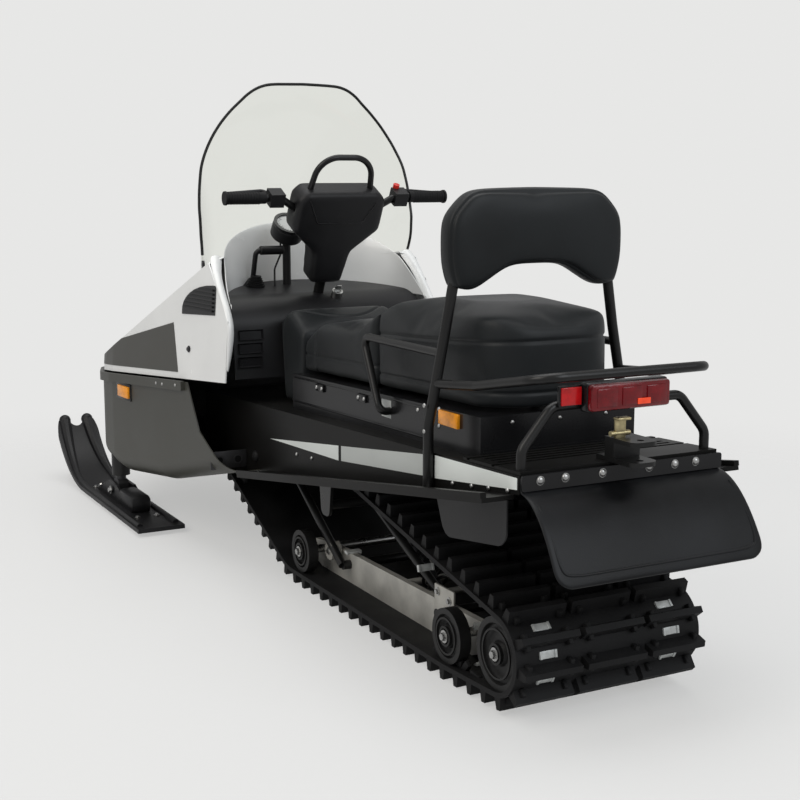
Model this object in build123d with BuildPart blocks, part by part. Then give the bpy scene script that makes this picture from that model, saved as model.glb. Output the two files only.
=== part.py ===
from build123d import *
import math
import os

os.makedirs("parts", exist_ok=True)

# Snowmobile, millimetres, front at -Y, rider's left at +X, floor at Z = 0

# Overall sizes
LENGTH = 3150
TRACK_W = 500
STANCE = 842
BODY_W = 916
GAP = 0.3
SHELL = 4
FRONT_Y = -LENGTH / 2
REAR_Y = LENGTH / 2

# Track loop: wheel places as y, z, radius of the belt's inner face
BELT_T = 12
LUG_H = 30
LUG_PITCH = 62
FLAT_Z = BELT_T + LUG_H
REAR_WHEEL = (1300, 137, 84)
MID_WHEEL = (1077, FLAT_Z + 67, 67)
FRONT_WHEEL = (230, FLAT_Z + 62, 62)
RAIL_NOSE = (190, FLAT_Z + 200, 200)
SPROCKET = (-330, 334, 82)
LOOP_WHEELS = (REAR_WHEEL, MID_WHEEL, RAIL_NOSE, SPROCKET)

# Tunnel and running boards
SHEET = 3
TUNNEL_X = TRACK_W / 2 + 15
TUNNEL_FRONT = -480
TUNNEL_REAR = 1420
DECK_SLOPE = 0.045
BOARD_SLOPE = 0.16
BOARD_W = 80
BOARD_T = 10
BOARD_FRONT = 0


def deck_z(y):
    return 505 + DECK_SLOPE * (y - 100)


def board_z(y):
    return 298 + BOARD_SLOPE * y


# Body: parting line between hood and belly pan
RAIL_SLOPE = 0.079
RAIL_H = 30
RAIL_T = 12
HOOD_GAP = 6
NOSE_Y = -1455
NOSE_X = 220
HOOD_REAR = -20
HOOD_NOSE_Z = 505
HOOD_RISE = 0.3815
ARCH_HALF = 470
ARCH_SAG = 130
ARCH_R = (ARCH_HALF**2 + ARCH_SAG**2) / (2 * ARCH_SAG)


def rail_z(y):
    return 463 + RAIL_SLOPE * (y + 1124)


# Steering column
COLUMN_FOOT = (0, -151, 829)
COLUMN_LEAN = 27.5
COLUMN_DIR = (0, math.sin(math.radians(COLUMN_LEAN)), math.cos(math.radians(COLUMN_LEAN)))
COLUMN_R = 16
BAR_R = 11
BAR_HALF = 356
COLUMN_FACE = Plane(origin=COLUMN_FOOT, x_dir=(1, 0, 0), z_dir=(0, -COLUMN_DIR[2], COLUMN_DIR[1]))
COLUMN_PLANE = Plane(origin=COLUMN_FOOT, x_dir=(1, 0, 0), z_dir=COLUMN_DIR)

# Skis and kingpins
SKI_W = 160
SKI_T = 14
SKI_LOW = 14
SKI_TAIL = -500
SKI_TIP_Z = 216
KING_Y = -955
KING_X = STANCE / 2
ROD_R = 17
STRUT_R = 32

# Hood hinge pins
HINGE_Y = NOSE_Y - 24
HINGE_Z = 470
HINGE_X = 140
PIN_R = 6

# Seat, backrest and tubes
SEAT_W = 376
TUBE_R = 12.5
POST_Y = 1054


def seat_z(y):
    return 607 + 0.036 * (y - 104)


# Track belt loop with three columns of lugs
with BuildSketch() as belt_inside:
    with BuildLine():
        for wheel_y, wheel_z, wheel_r in LOOP_WHEELS:
            CenterArc((wheel_y, wheel_z), wheel_r, 0, 360)
    make_hull()

with BuildSketch() as belt_outside:
    with BuildLine():
        for wheel_y, wheel_z, wheel_r in LOOP_WHEELS:
            CenterArc((wheel_y, wheel_z), wheel_r + BELT_T, 0, 360)
    make_hull()

belt_edge = belt_outside.sketch.faces()[0].outer_wire()
belt_mid = belt_outside.sketch.faces()[0].center()
LUG_COUNT = round(belt_edge.length / LUG_PITCH)
LUG_BITE = 2
LUG_COLUMNS = ((-245, 150), (-80, 160), (95, 150))

with BuildPart() as track:
    with BuildSketch(Plane.YZ):
        add(belt_outside.sketch)
        add(belt_inside.sketch, mode=Mode.SUBTRACT)
    extrude(amount=TRACK_W / 2, both=True)
    for column_x, column_w in LUG_COLUMNS:
        with BuildSketch(Plane.YZ.offset(column_x)):
            for lug in range(LUG_COUNT):
                spot = belt_edge @ (lug / LUG_COUNT)
                along = belt_edge % (lug / LUG_COUNT)
                out = Vector(-along.Y, along.X, 0)
                if out.dot(spot - belt_mid) < 0:
                    out = -out
                root = spot - out * LUG_BITE
                turn = math.degrees(math.atan2(out.Y, out.X)) - 90
                with Locations(Location((root.X, root.Y, 0), (0, 0, turn))):
                    Trapezoid(26, LUG_H + LUG_BITE, 80, align=(Align.CENTER, Align.MIN))
        extrude(amount=column_w)
track.part.label = "track"
export_step(track.part, "parts/track.step")

# Tunnel: folded sheet over the track with sloping lower edges
with BuildPart() as tunnel:
    for inset, mode in ((0, Mode.ADD), (SHEET, Mode.SUBTRACT)):
        with BuildSketch(Plane.YZ):
            with BuildLine():
                Polyline(
                    (TUNNEL_FRONT - inset, board_z(TUNNEL_FRONT) - 2 * inset),
                    (TUNNEL_REAR + inset, board_z(TUNNEL_REAR) - 2 * inset),
                    (TUNNEL_REAR + inset, deck_z(TUNNEL_REAR) - inset),
                    (TUNNEL_FRONT - inset, deck_z(TUNNEL_FRONT) - inset),
                    close=True,
                )
            make_face()
        extrude(amount=TUNNEL_X - inset, both=True, mode=mode)
tunnel.part.label = "tunnel"
export_step(tunnel.part, "parts/tunnel.step")

# Running boards: sloping planks with grip slots and a rolled outer rail
BOARD_ANGLE = math.degrees(math.atan(BOARD_SLOPE))
BOARD_LEN = (TUNNEL_REAR - 20 - BOARD_FRONT) / math.cos(math.radians(BOARD_ANGLE))
BOARD_PLANE = Plane(
    origin=(0, BOARD_FRONT, board_z(BOARD_FRONT)),
    x_dir=(1, 0, 0),
    z_dir=(0, -math.sin(math.radians(BOARD_ANGLE)), math.cos(math.radians(BOARD_ANGLE))),
)
with BuildPart() as running_boards:
    with BuildSketch(BOARD_PLANE):
        with Locations((TUNNEL_X, 0)):
            Rectangle(BOARD_W, BOARD_LEN, align=(Align.MIN, Align.MIN))
        with Locations((TUNNEL_X + BOARD_W / 2 - 6, BOARD_LEN / 2)):
            with GridLocations(0, 112, 1, 10):
                SlotOverall(64, 26, rotation=90, mode=Mode.SUBTRACT)
    extrude(amount=-BOARD_T)
    with BuildSketch(BOARD_PLANE):
        with Locations((TUNNEL_X + BOARD_W - 12, 0)):
            Rectangle(14, BOARD_LEN, align=(Align.MIN, Align.MIN))
    extrude(amount=12)
    rail_edges = running_boards.edges().filter_by(Axis((0, 0, 0), BOARD_PLANE.y_dir))
    fillet(rail_edges.group_by(Axis.Z)[-1], radius=5)
    mirror(about=Plane.YZ)
running_boards.part.label = "running_boards"
export_step(running_boards.part, "parts/running_boards.step")

# Side skirts: plates under the rear of each running board
SKIRT_FRONT = 1100
SKIRT_REAR = 1400
SKIRT_DROP = 112
SKIRT_X = TUNNEL_X + 14
with BuildPart() as side_skirts:
    with BuildSketch(Plane.YZ.offset(SKIRT_X)):
        with BuildLine():
            Polyline(
                (SKIRT_FRONT, board_z(SKIRT_FRONT) - BOARD_T - 1),
                (SKIRT_REAR, board_z(SKIRT_REAR) - BOARD_T - 1),
                (SKIRT_REAR, board_z(SKIRT_REAR) - SKIRT_DROP),
                (SKIRT_FRONT + 40, board_z(SKIRT_FRONT) - SKIRT_DROP + 10),
                close=True,
            )
        skirt_face = make_face()
        fillet(skirt_face.vertices().filter_by(lambda v: v.Y < board_z(SKIRT_FRONT) - 60), radius=40)
    extrude(amount=4)
    mirror(about=Plane.YZ)
    add(running_boards.part, mode=Mode.SUBTRACT)
side_skirts.part.label = "side_skirts"
export_step(side_skirts.part, "parts/side_skirts.step")


# Plan outline shared by hood, belly pan and bumper rail
def plan_outline(inset):
    with BuildSketch() as plan:
        with BuildLine():
            Polyline(
                (0, NOSE_Y + inset),
                (NOSE_X - inset / 2, NOSE_Y + inset),
                (BODY_W * 0.42 - inset, NOSE_Y + 205 + inset / 2),
                (BODY_W / 2 - inset, NOSE_Y + 445),
                (BODY_W / 2 - inset, NOSE_Y + 555),
                (BODY_W * 0.41 - inset, 0),
                (0, 0),
            )
            mirror(about=Plane.YZ)
        make_face()
        front = plan.vertices().filter_by(lambda v: v.Y < -100 and abs(v.X) > 1)
        fillet(front, radius=150 - inset)
    return plan.sketch


# Hood form: tapered plan cut by an arched slope, the parting line and the rear edge
HOOD_ANGLE = math.degrees(math.atan(HOOD_RISE))
HOOD_DIR = Vector(0, math.cos(math.radians(HOOD_ANGLE)), math.sin(math.radians(HOOD_ANGLE)))
HOOD_PLANE = Plane(origin=(0, NOSE_Y, HOOD_NOSE_Z), x_dir=(-1, 0, 0), z_dir=HOOD_DIR)


def hood_low(y):
    return rail_z(y) + RAIL_H / 2 + HOOD_GAP


def hood_form(inset):
    with BuildPart() as form:
        with BuildSketch(Plane.XY.offset(440)):
            add(plan_outline(inset))
        extrude(amount=620, taper=4)
        with BuildSketch(HOOD_PLANE):
            with Locations((0, -ARCH_R)):
                Circle(ARCH_R - inset)
        extrude(amount=2500, both=True, mode=Mode.INTERSECT)
        low = max(inset, 0) * 2
        with BuildSketch(Plane.YZ):
            with BuildLine():
                Polyline(
                    (NOSE_Y - 60, hood_low(NOSE_Y - 60) - low),
                    (HOOD_REAR + low, hood_low(HOOD_REAR) - low),
                    (HOOD_REAR + low, 752),
                    (-195 + low, 945),
                    (-195 + low, 1100),
                    (NOSE_Y - 60, 1100),
                    close=True,
                )
            make_face()
        extrude(amount=BODY_W, both=True, mode=Mode.INTERSECT)
    return form.part


hood_outer = hood_form(0)
hood_inner = hood_form(SHELL)
hood_skin = hood_form(-GAP)
DASH_R = 335
DASH_Y = -40
with BuildPart() as hood_shell:
    add(hood_outer)
    add(hood_inner, mode=Mode.SUBTRACT)
    with BuildSketch(Plane.XY.offset(780)):
        with Locations((0, DASH_Y)):
            Circle(DASH_R)
    extrude(amount=400, mode=Mode.SUBTRACT)
hood_shell.part.label = "hood_shell"
export_step(hood_shell.part, "parts/hood_shell.step")

# Headlamp lens lying on the hood's slope
with BuildPart() as headlamp:
    add(hood_form(-GAP - 8))
    add(hood_skin, mode=Mode.SUBTRACT)
    with BuildSketch(Plane.XY.offset(300)):
        with Locations((0, NOSE_Y + 330)):
            RectangleRounded(420, 130, 40)
    extrude(amount=800, mode=Mode.INTERSECT)
headlamp.part.label = "headlamp"
export_step(headlamp.part, "parts/headlamp.step")

# Windshield: sheet that is round at its foot and flattens as it leans back, trimmed to its front outline
SHIELD_T = 4
SHIELD_BASE = 800
SHIELD_TOP = 1459
SHIELD_SECTIONS = (
    (SHIELD_BASE, 352, -206, -560),
    (SHIELD_TOP + 45, 400, -212, -238),
)
with BuildPart() as windshield:
    for level, half, end_y, mid_y in SHIELD_SECTIONS:
        with BuildSketch(Plane.XY.offset(level)):
            with BuildLine():
                outer = ThreePointArc((-half, end_y), (0, mid_y), (half, end_y))
                inner = ThreePointArc((-half + SHIELD_T, end_y), (0, mid_y + SHIELD_T), (half - SHIELD_T, end_y))
                Line(outer @ 0, inner @ 0)
                Line(outer @ 1, inner @ 1)
            make_face()
    loft(ruled=True)
    with BuildSketch(Plane.XZ):
        with BuildLine():
            Polyline((0, SHIELD_BASE), (340, SHIELD_BASE), (353, 925))
            ThreePointArc((353, 925), (363, 1080), (345, 1210))
            ThreePointArc((345, 1210), (298, 1302), (205, SHIELD_TOP - 54))
            ThreePointArc((205, SHIELD_TOP - 54), (163, SHIELD_TOP - 20), (110, SHIELD_TOP - 3))
            Line((110, SHIELD_TOP - 3), (0, SHIELD_TOP))
            mirror(about=Plane.YZ)
        make_face()
    extrude(amount=900, both=True, mode=Mode.INTERSECT)
    add(hood_skin, mode=Mode.SUBTRACT)
windshield.part.label = "windshield"
export_step(windshield.part, "parts/windshield.step")

# Belly pan form: plan cut by the rounded side outline
PAN_LOW = 150
PAN_LOW_Y = -850


def pan_form(inset):
    with BuildPart() as form:
        with BuildSketch():
            add(plan_outline(inset))
        extrude(amount=700)
        lift = max(inset, 0) * 2
        with BuildSketch(Plane.YZ):
            with BuildLine():
                Polyline(
                    (NOSE_Y - 20, rail_z(NOSE_Y) - 30 + inset),
                    (NOSE_Y + 320, PAN_LOW + 35 + inset),
                    (PAN_LOW_Y, PAN_LOW + inset),
                    (-480, PAN_LOW + 40 + inset),
                    (-10 + lift, 300 + inset),
                    (-190 + lift, 400),
                    (-270 + lift, rail_z(-270) + 12 + lift),
                    (NOSE_Y - 20, rail_z(NOSE_Y) + 12 + lift),
                    close=True,
                )
            pan_face = make_face()
            low = pan_face.vertices().filter_by(lambda v: v.Y < 250)
            fillet(low, radius=180)
        extrude(amount=BODY_W, both=True, mode=Mode.INTERSECT)
        belly = form.edges().filter_by(lambda e: e.center().Z < 330 and abs(e.center().X) > NOSE_X)
        fillet(belly, radius=60 - inset)
    return form.part


pan_outer = pan_form(0)
pan_inner = pan_form(SHELL)
with BuildPart() as belly_pan:
    add(pan_outer)
    add(pan_inner, mode=Mode.SUBTRACT)
    with Locations((0, TUNNEL_FRONT - 10, 0)):
        Box(2 * (TUNNEL_X + GAP), 1000, 1400, align=(Align.CENTER, Align.MIN, Align.CENTER), mode=Mode.SUBTRACT)
    with Locations((KING_X, KING_Y, 0), (-KING_X, KING_Y, 0)):
        Cylinder(STRUT_R + GAP, 900, mode=Mode.SUBTRACT)
belly_pan.part.label = "belly_pan"
export_step(belly_pan.part, "parts/belly_pan.step")

# Bumper rail round the nose along the parting line
RAIL_END = -290
with BuildPart() as front_bumper:
    with BuildSketch(Plane.XY.offset(300)):
        add(plan_outline(-RAIL_T))
        add(plan_outline(-GAP), mode=Mode.SUBTRACT)
    extrude(amount=400)
    with BuildSketch(Plane.YZ):
        with BuildLine():
            Polyline(
                (NOSE_Y - 60, rail_z(NOSE_Y - 60) - RAIL_H / 2),
                (RAIL_END, rail_z(RAIL_END) - RAIL_H / 2),
                (RAIL_END, rail_z(RAIL_END) + RAIL_H / 2),
                (NOSE_Y - 60, rail_z(NOSE_Y - 60) + RAIL_H / 2),
                close=True,
            )
        make_face()
    extrude(amount=BODY_W, both=True, mode=Mode.INTERSECT)
front_bumper.part.label = "front_bumper"
export_step(front_bumper.part, "parts/front_bumper.step")

# Front frame: bulkhead, two long beams and two cross beams
BEAM_Z = 300
BEAM_H = 50
with BuildPart() as nose_beam:
    with Locations((0, -1170, BEAM_Z)):
        Box(BODY_W, 40, BEAM_H, align=(Align.CENTER, Align.CENTER, Align.MIN))
    add(pan_form(SHELL + GAP), mode=Mode.INTERSECT)

with BuildPart() as front_frame:
    with Locations((0, TUNNEL_FRONT, board_z(TUNNEL_FRONT))):
        bulkhead_h = deck_z(TUNNEL_FRONT) - board_z(TUNNEL_FRONT)
        Box(2 * TUNNEL_X, 8, bulkhead_h, align=(Align.CENTER, Align.MAX, Align.MIN))
    with Locations((175, TUNNEL_FRONT, BEAM_Z), (-175, TUNNEL_FRONT, BEAM_Z)):
        Box(50, 690, BEAM_H, align=(Align.CENTER, Align.MAX, Align.MIN))
    with Locations((0, KING_Y, BEAM_Z)):
        Box(2 * KING_X, 60, BEAM_H, align=(Align.CENTER, Align.CENTER, Align.MIN))
    add(nose_beam.part)
    with Locations((KING_X, KING_Y, BEAM_Z), (-KING_X, KING_Y, BEAM_Z)):
        Cylinder(STRUT_R + GAP, 400, mode=Mode.SUBTRACT)
front_frame.part.label = "front_frame"
export_step(front_frame.part, "parts/front_frame.step")

# Engine block on the long beams
with BuildPart() as engine_block:
    with Locations((0, -560, BEAM_Z + BEAM_H)):
        Box(380, 330, 235, align=(Align.CENTER, Align.MAX, Align.MIN))
    chamfer(engine_block.edges().group_by(Axis.Z)[-1], 25)
engine_block.part.label = "engine_block"
export_step(engine_block.part, "parts/engine_block.step")

# Telescopic strut tubes around the kingpin rods
STRUT_LOW = 118
STRUT_TOP = 460
with BuildPart() as strut_tubes:
    with BuildSketch(Plane.XY.offset(STRUT_LOW)):
        with Locations((KING_X, KING_Y), (-KING_X, KING_Y)):
            Circle(STRUT_R)
            Circle(ROD_R + 0.05, mode=Mode.SUBTRACT)
    extrude(amount=STRUT_TOP - STRUT_LOW)
strut_tubes.part.label = "strut_tubes"
export_step(strut_tubes.part, "parts/strut_tubes.step")

# Skis with keel, side ribs and double-lobed tips, and their kingpin spindles
SKI_BEND = -1190
RIB_X = 24
RIB_T = 10
AXLE_Z = 62
AXLE_R = 8
for side, hand in ((1, "left"), (-1, "right")):
    ski_x = side * KING_X
    with BuildPart() as ski:
        with BuildSketch(Plane.YZ.offset(ski_x)):
            with BuildLine():
                flat = Line((SKI_TAIL, SKI_LOW + SKI_T / 2), (SKI_BEND, SKI_LOW + SKI_T / 2))
                TangentArc(flat @ 1, (FRONT_Y + 6, SKI_TIP_Z), tangent=flat % 1)
            trace(line_width=SKI_T)
        extrude(amount=SKI_W / 2, both=True)
        with BuildSketch():
            with Locations((ski_x, FRONT_Y - 20)):
                ski_plan = Rectangle(SKI_W, SKI_TAIL - FRONT_Y + 20, align=(Align.CENTER, Align.MIN))
            fillet(ski_plan.vertices().group_by(Axis.Y)[0], radius=70)
            fillet(ski_plan.vertices().group_by(Axis.Y)[-1], radius=45)
            with Locations((ski_x, FRONT_Y - 6)):
                Circle(34, mode=Mode.SUBTRACT)
        extrude(amount=400, mode=Mode.INTERSECT)
        with BuildSketch(Plane.YZ.offset(ski_x)):
            with BuildLine():
                Polyline(
                    (SKI_TAIL - 60, SKI_LOW + 2),
                    (SKI_TAIL - 110, 0),
                    (SKI_BEND + 60, 0),
                    (SKI_BEND, SKI_LOW + 2),
                    close=True,
                )
            make_face()
        extrude(amount=14, both=True)
        for rib_x in (ski_x - RIB_X - RIB_T, ski_x + RIB_X):
            with BuildSketch(Plane.YZ.offset(rib_x)):
                with BuildLine():
                    Polyline(
                        (KING_Y + 230, SKI_LOW + SKI_T - 2),
                        (KING_Y - 200, SKI_LOW + SKI_T - 2),
                        (KING_Y - 60, AXLE_Z + 26),
                        (KING_Y + 60, AXLE_Z + 26),
                        close=True,
                    )
                make_face()
                with Locations((KING_Y, AXLE_Z)):
                    Circle(AXLE_R + 0.05, mode=Mode.SUBTRACT)
            extrude(amount=RIB_T)
    ski.part.label = "ski_" + hand
    export_step(ski.part, "parts/ski_" + hand + ".step")

    with BuildPart() as spindle:
        with Locations((ski_x, KING_Y, AXLE_Z - 24)):
            Box(36, 60, 64, align=(Align.CENTER, Align.CENTER, Align.MIN))
        fillet(spindle.edges().filter_by(Axis.X), radius=14)
        with Locations((ski_x, KING_Y, AXLE_Z)):
            Cylinder(AXLE_R, 2 * (RIB_X + RIB_T) + 10, rotation=(0, 90, 0))
        with Locations((ski_x, KING_Y, AXLE_Z + 20)):
            Cylinder(ROD_R, 330, align=(Align.CENTER, Align.CENTER, Align.MIN))
    spindle.part.label = "spindle_" + hand
    export_step(spindle.part, "parts/spindle_" + hand + ".step")

# Hood hinge: pins on the bumper rail, ears on the hood
with BuildPart() as hinge_base:
    for side in (1, -1):
        with Locations((side * (HINGE_X - 10), NOSE_Y - RAIL_T, HINGE_Z - 45)):
            Box(20, 24, 57, align=(Align.CENTER, Align.MAX, Align.MIN))
        with Locations((side * (HINGE_X + 15), HINGE_Y, HINGE_Z)):
            Cylinder(PIN_R, 40, rotation=(0, 90, 0))
hinge_base.part.label = "hinge_base"
export_step(hinge_base.part, "parts/hinge_base.step")

with BuildPart() as hinge_ears:
    with Locations((HINGE_X + 20, HINGE_Y - 12, HINGE_Z - 12), (-HINGE_X - 20, HINGE_Y - 12, HINGE_Z - 12)):
        Box(28, 50, 34, align=(Align.CENTER, Align.MIN, Align.MIN))
    with Locations((HINGE_X + 20, HINGE_Y, HINGE_Z), (-HINGE_X - 20, HINGE_Y, HINGE_Z)):
        Cylinder(PIN_R + 0.05, 60, rotation=(0, 90, 0), mode=Mode.SUBTRACT)
    add(hood_skin, mode=Mode.SUBTRACT)
hinge_ears.part.label = "hinge_ears"
export_step(hinge_ears.part, "parts/hinge_ears.step")

# Dash console: sloping wall and top shelf inside the hood's rear opening
DASH_LOW = (-42, 575)
DASH_MID = (-70, 760)
DASH_TOP = (-130, 815)
DASH_FRONT = (-440, 850)
DASH_T = 8
CONSOLE_R = 324
with BuildPart() as console:
    with BuildSketch(Plane.YZ):
        with BuildLine():
            FilletPolyline(
                (DASH_LOW[0] - DASH_T / 2 - GAP, DASH_LOW[1]),
                (DASH_MID[0] - DASH_T / 2 - GAP, DASH_MID[1]),
                (DASH_TOP[0], DASH_TOP[1] - DASH_T / 2),
                (DASH_FRONT[0], DASH_FRONT[1] - DASH_T / 2),
                radius=100,
            )
        trace(line_width=DASH_T)
    extrude(amount=CONSOLE_R, both=True)
    with BuildSketch():
        with Locations((0, DASH_Y)):
            Circle(CONSOLE_R)
            Rectangle(2 * CONSOLE_R, 80, align=(Align.CENTER, Align.CENTER))
    extrude(amount=1200, mode=Mode.INTERSECT)
    with Locations(Location(COLUMN_PLANE)):
        Cylinder(COLUMN_R + 0.06, 200, mode=Mode.SUBTRACT)
console.part.label = "console"
export_step(console.part, "parts/console.step")

# Tank cover between the dash and the seat
COVER_W = 370
COVER_REAR = 118
COVER_WALL = 14
with BuildPart() as tank_cover:
    for inset, mode in ((0, Mode.ADD), (COVER_WALL, Mode.SUBTRACT)):
        with BuildSketch(Plane.YZ):
            with BuildLine():
                Polyline(
                    (DASH_LOW[0] + inset, deck_z(DASH_LOW[0]) - inset),
                    (DASH_LOW[0] + inset, DASH_LOW[1] - inset),
                    (DASH_MID[0] + inset, DASH_MID[1] - inset),
                    (0, 796 - inset),
                    (COVER_REAR - inset, 735 - inset),
                    (COVER_REAR - inset, deck_z(COVER_REAR) - inset),
                    close=True,
                )
            make_face()
        extrude(amount=COVER_W / 2 - inset, both=True, mode=mode)
        if mode == Mode.ADD:
            crown = tank_cover.edges().filter_by(lambda e: e.center().Z > 700 and abs(e.center().X) > 1)
            fillet(crown, radius=34)
tank_cover.part.label = "tank_cover"
export_step(tank_cover.part, "parts/tank_cover.step")

# Gauge pod on its stalk, facing the rider
GAUGE = (45, -290, 1005)
GAUGE_R = 52
GAUGE_PLANE = Plane(origin=GAUGE, x_dir=(1, 0, 0), z_dir=(0, 0.6, 0.8))
with BuildPart() as gauge_pod:
    with Locations(Location(GAUGE_PLANE)):
        Cylinder(GAUGE_R, 48)
    fillet(gauge_pod.edges().filter_by(GeomType.CIRCLE), radius=8)
    with Locations((GAUGE[0], GAUGE[1] - 10, 828)):
        Cylinder(13, 160, align=(Align.CENTER, Align.CENTER, Align.MIN))
    add(console.part, mode=Mode.SUBTRACT)
gauge_pod.part.label = "gauge_pod"
export_step(gauge_pod.part, "parts/gauge_pod.step")

# Gauge cable from the pod's underside to the console shelf
CABLE_R = 3
with BuildPart() as gauge_cable:
    with BuildLine() as cable_line:
        FilletPolyline(
            (GAUGE[0] + 25, GAUGE[1], GAUGE[2] - 5),
            (GAUGE[0] + 25, GAUGE[1], GAUGE[2] - 75),
            (GAUGE[0] + 55, GAUGE[1] + 20, GAUGE[2] - 120),
            (GAUGE[0] + 55, GAUGE[1] + 20, 831.4),
            radius=18,
        )
    with BuildSketch(Plane(origin=cable_line.line @ 0, z_dir=cable_line.line % 0)):
        Circle(CABLE_R)
    sweep()
    add(gauge_pod.part, mode=Mode.SUBTRACT)
gauge_cable.part.label = "gauge_cable"
export_step(gauge_cable.part, "parts/gauge_cable.step")

# Shift lever: post from the console and a grip bar across
LEVER = (165, -262, 945)
with BuildPart() as shift_lever:
    with BuildLine() as lever_line:
        FilletPolyline(
            (LEVER[0], LEVER[1] - 40, 829),
            (LEVER[0], LEVER[1], LEVER[2]),
            (LEVER[0] - 80, LEVER[1], LEVER[2]),
            radius=16,
        )
    with BuildSketch(Plane(origin=lever_line.line @ 0, z_dir=lever_line.line % 0)):
        Circle(8)
    sweep()
    with Locations((LEVER[0] - 52, LEVER[1], LEVER[2])):
        Cylinder(14, 80, rotation=(0, 90, 0))
    fillet(shift_lever.edges().filter_by(GeomType.CIRCLE).filter_by(lambda e: abs(e.radius - 14) < 0.1), radius=5)
    with Locations((LEVER[0], LEVER[1] - 36, 828)):
        Cone(34, 12, 28, align=(Align.CENTER, Align.CENTER, Align.MIN))
    add(console.part, mode=Mode.SUBTRACT)
shift_lever.part.label = "shift_lever"
export_step(shift_lever.part, "parts/shift_lever.step")

# Seat base: hollow side panels under the seat
BASE_W = 420
BASE_FRONT = COVER_REAR + GAP
BASE_REAR = 960
BOX_REAR = 1180
with BuildPart() as seat_base:
    for inset, mode in ((0, Mode.ADD), (SHELL, Mode.SUBTRACT)):
        with BuildSketch(Plane.YZ):
            with BuildLine():
                Polyline(
                    (BASE_FRONT + inset, deck_z(BASE_FRONT) - inset),
                    (BASE_REAR - inset, deck_z(BASE_REAR) - inset),
                    (BASE_REAR - inset, seat_z(BASE_REAR) - inset),
                    (BASE_FRONT + inset, seat_z(BASE_FRONT) - inset),
                    close=True,
                )
            make_face()
        extrude(amount=BASE_W / 2 - inset, both=True, mode=mode)
seat_base.part.label = "seat_base"
export_step(seat_base.part, "parts/seat_base.step")

# Storage box under the rear of the seat
with BuildPart() as storage_box:
    for inset, mode in ((0, Mode.ADD), (SHELL, Mode.SUBTRACT)):
        with BuildSketch(Plane.YZ):
            with BuildLine():
                Polyline(
                    (BASE_REAR + GAP + inset, deck_z(BASE_REAR) - inset),
                    (BOX_REAR - inset, deck_z(BOX_REAR) - inset),
                    (BOX_REAR - inset, seat_z(BOX_REAR) - inset),
                    (BASE_REAR + GAP + inset, seat_z(BASE_REAR) - inset),
                    close=True,
                )
            make_face()
        extrude(amount=BASE_W / 2 + 4 - inset, both=True, mode=mode)
    add(tunnel.part, mode=Mode.SUBTRACT)
storage_box.part.label = "storage_box"
export_step(storage_box.part, "parts/storage_box.step")

# Seat cushions: driver part with its dip and raised passenger part
SEAT_SPLIT = 590
SEAT_REAR = 1195
with BuildPart() as driver_seat:
    with BuildSketch(Plane.YZ):
        with BuildLine():
            Polyline(
                (BASE_FRONT + GAP, seat_z(BASE_FRONT) + GAP),
                (SEAT_SPLIT - GAP, seat_z(SEAT_SPLIT) + GAP),
                (SEAT_SPLIT - GAP, 840),
                (SEAT_SPLIT - 130, 782),
                (BASE_FRONT + 100, 770),
                (BASE_FRONT + GAP, 715),
                close=True,
            )
        make_face()
    extrude(amount=SEAT_W / 2, both=True)
    fillet(driver_seat.edges().filter_by(lambda e: e.center().Z > 700 and abs(e.center().X) > 150), radius=35)
driver_seat.part.label = "driver_seat"
export_step(driver_seat.part, "parts/driver_seat.step")

with BuildPart() as passenger_seat:
    with BuildSketch(Plane.YZ):
        with BuildLine():
            Polyline(
                (SEAT_SPLIT, seat_z(SEAT_SPLIT) + GAP),
                (SEAT_REAR, seat_z(SEAT_REAR) + GAP),
                (SEAT_REAR, 840),
                (SEAT_REAR - 60, 876),
                (SEAT_SPLIT + 90, 872),
                (SEAT_SPLIT, 840),
                close=True,
            )
        make_face()
    extrude(amount=SEAT_W / 2, both=True)
    fillet(passenger_seat.edges().filter_by(Axis.Z).group_by(Axis.Y)[-1], radius=130)
    crown = passenger_seat.edges().filter_by(lambda e: e.center().Z > 838 and e.center().Y > SEAT_SPLIT + 1)
    fillet(crown, radius=30)
passenger_seat.part.label = "passenger_seat"
export_step(passenger_seat.part, "parts/passenger_seat.step")


# Backrest posts: bent tubes standing on the running boards
def post_form(radius):
    with BuildPart() as posts:
        with BuildLine() as post_line:
            FilletPolyline(
                (TUNNEL_X + TUBE_R + GAP, POST_Y, board_z(POST_Y) - 5),
                (TUNNEL_X + TUBE_R + GAP, POST_Y, 610),
                (236, POST_Y, 820),
                (204, POST_Y + 4, 1000),
                radius=80,
            )
        with BuildSketch(Plane(origin=post_line.line @ 0, z_dir=post_line.line % 0)):
            Circle(radius)
        sweep()
        mirror(about=Plane.YZ)
    return posts.part


post_bore = post_form(TUBE_R + GAP)
with BuildPart() as backrest_frame:
    add(post_form(TUBE_R))
    add(running_boards.part, mode=Mode.SUBTRACT)
backrest_frame.part.label = "backrest_frame"
export_step(backrest_frame.part, "parts/backrest_frame.step")

with BuildPart() as backrest_cushion:
    with BuildSketch(Plane.XZ.offset(-POST_Y + 42)):
        with BuildLine():
            Polyline(
                (0, 1160),
                (185, 1160),
                (252, 1090),
                (252, 985),
                (232, 908),
                (168, 908),
                (70, 966),
                (0, 966),
            )
            mirror(about=Plane.YZ)
        pad_face = make_face()
        fillet(pad_face.vertices().filter_by(lambda v: abs(v.X) > 1 and v.Y > 975), radius=60)
        fillet(pad_face.vertices().filter_by(lambda v: abs(v.X) > 1 and v.Y < 975), radius=24)
    extrude(amount=-92)
    fillet(backrest_cushion.edges().filter_by(Plane.XZ), radius=20)
    add(post_bore, mode=Mode.SUBTRACT)
backrest_cushion.part.label = "backrest_cushion"
export_step(backrest_cushion.part, "parts/backrest_cushion.step")

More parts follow.
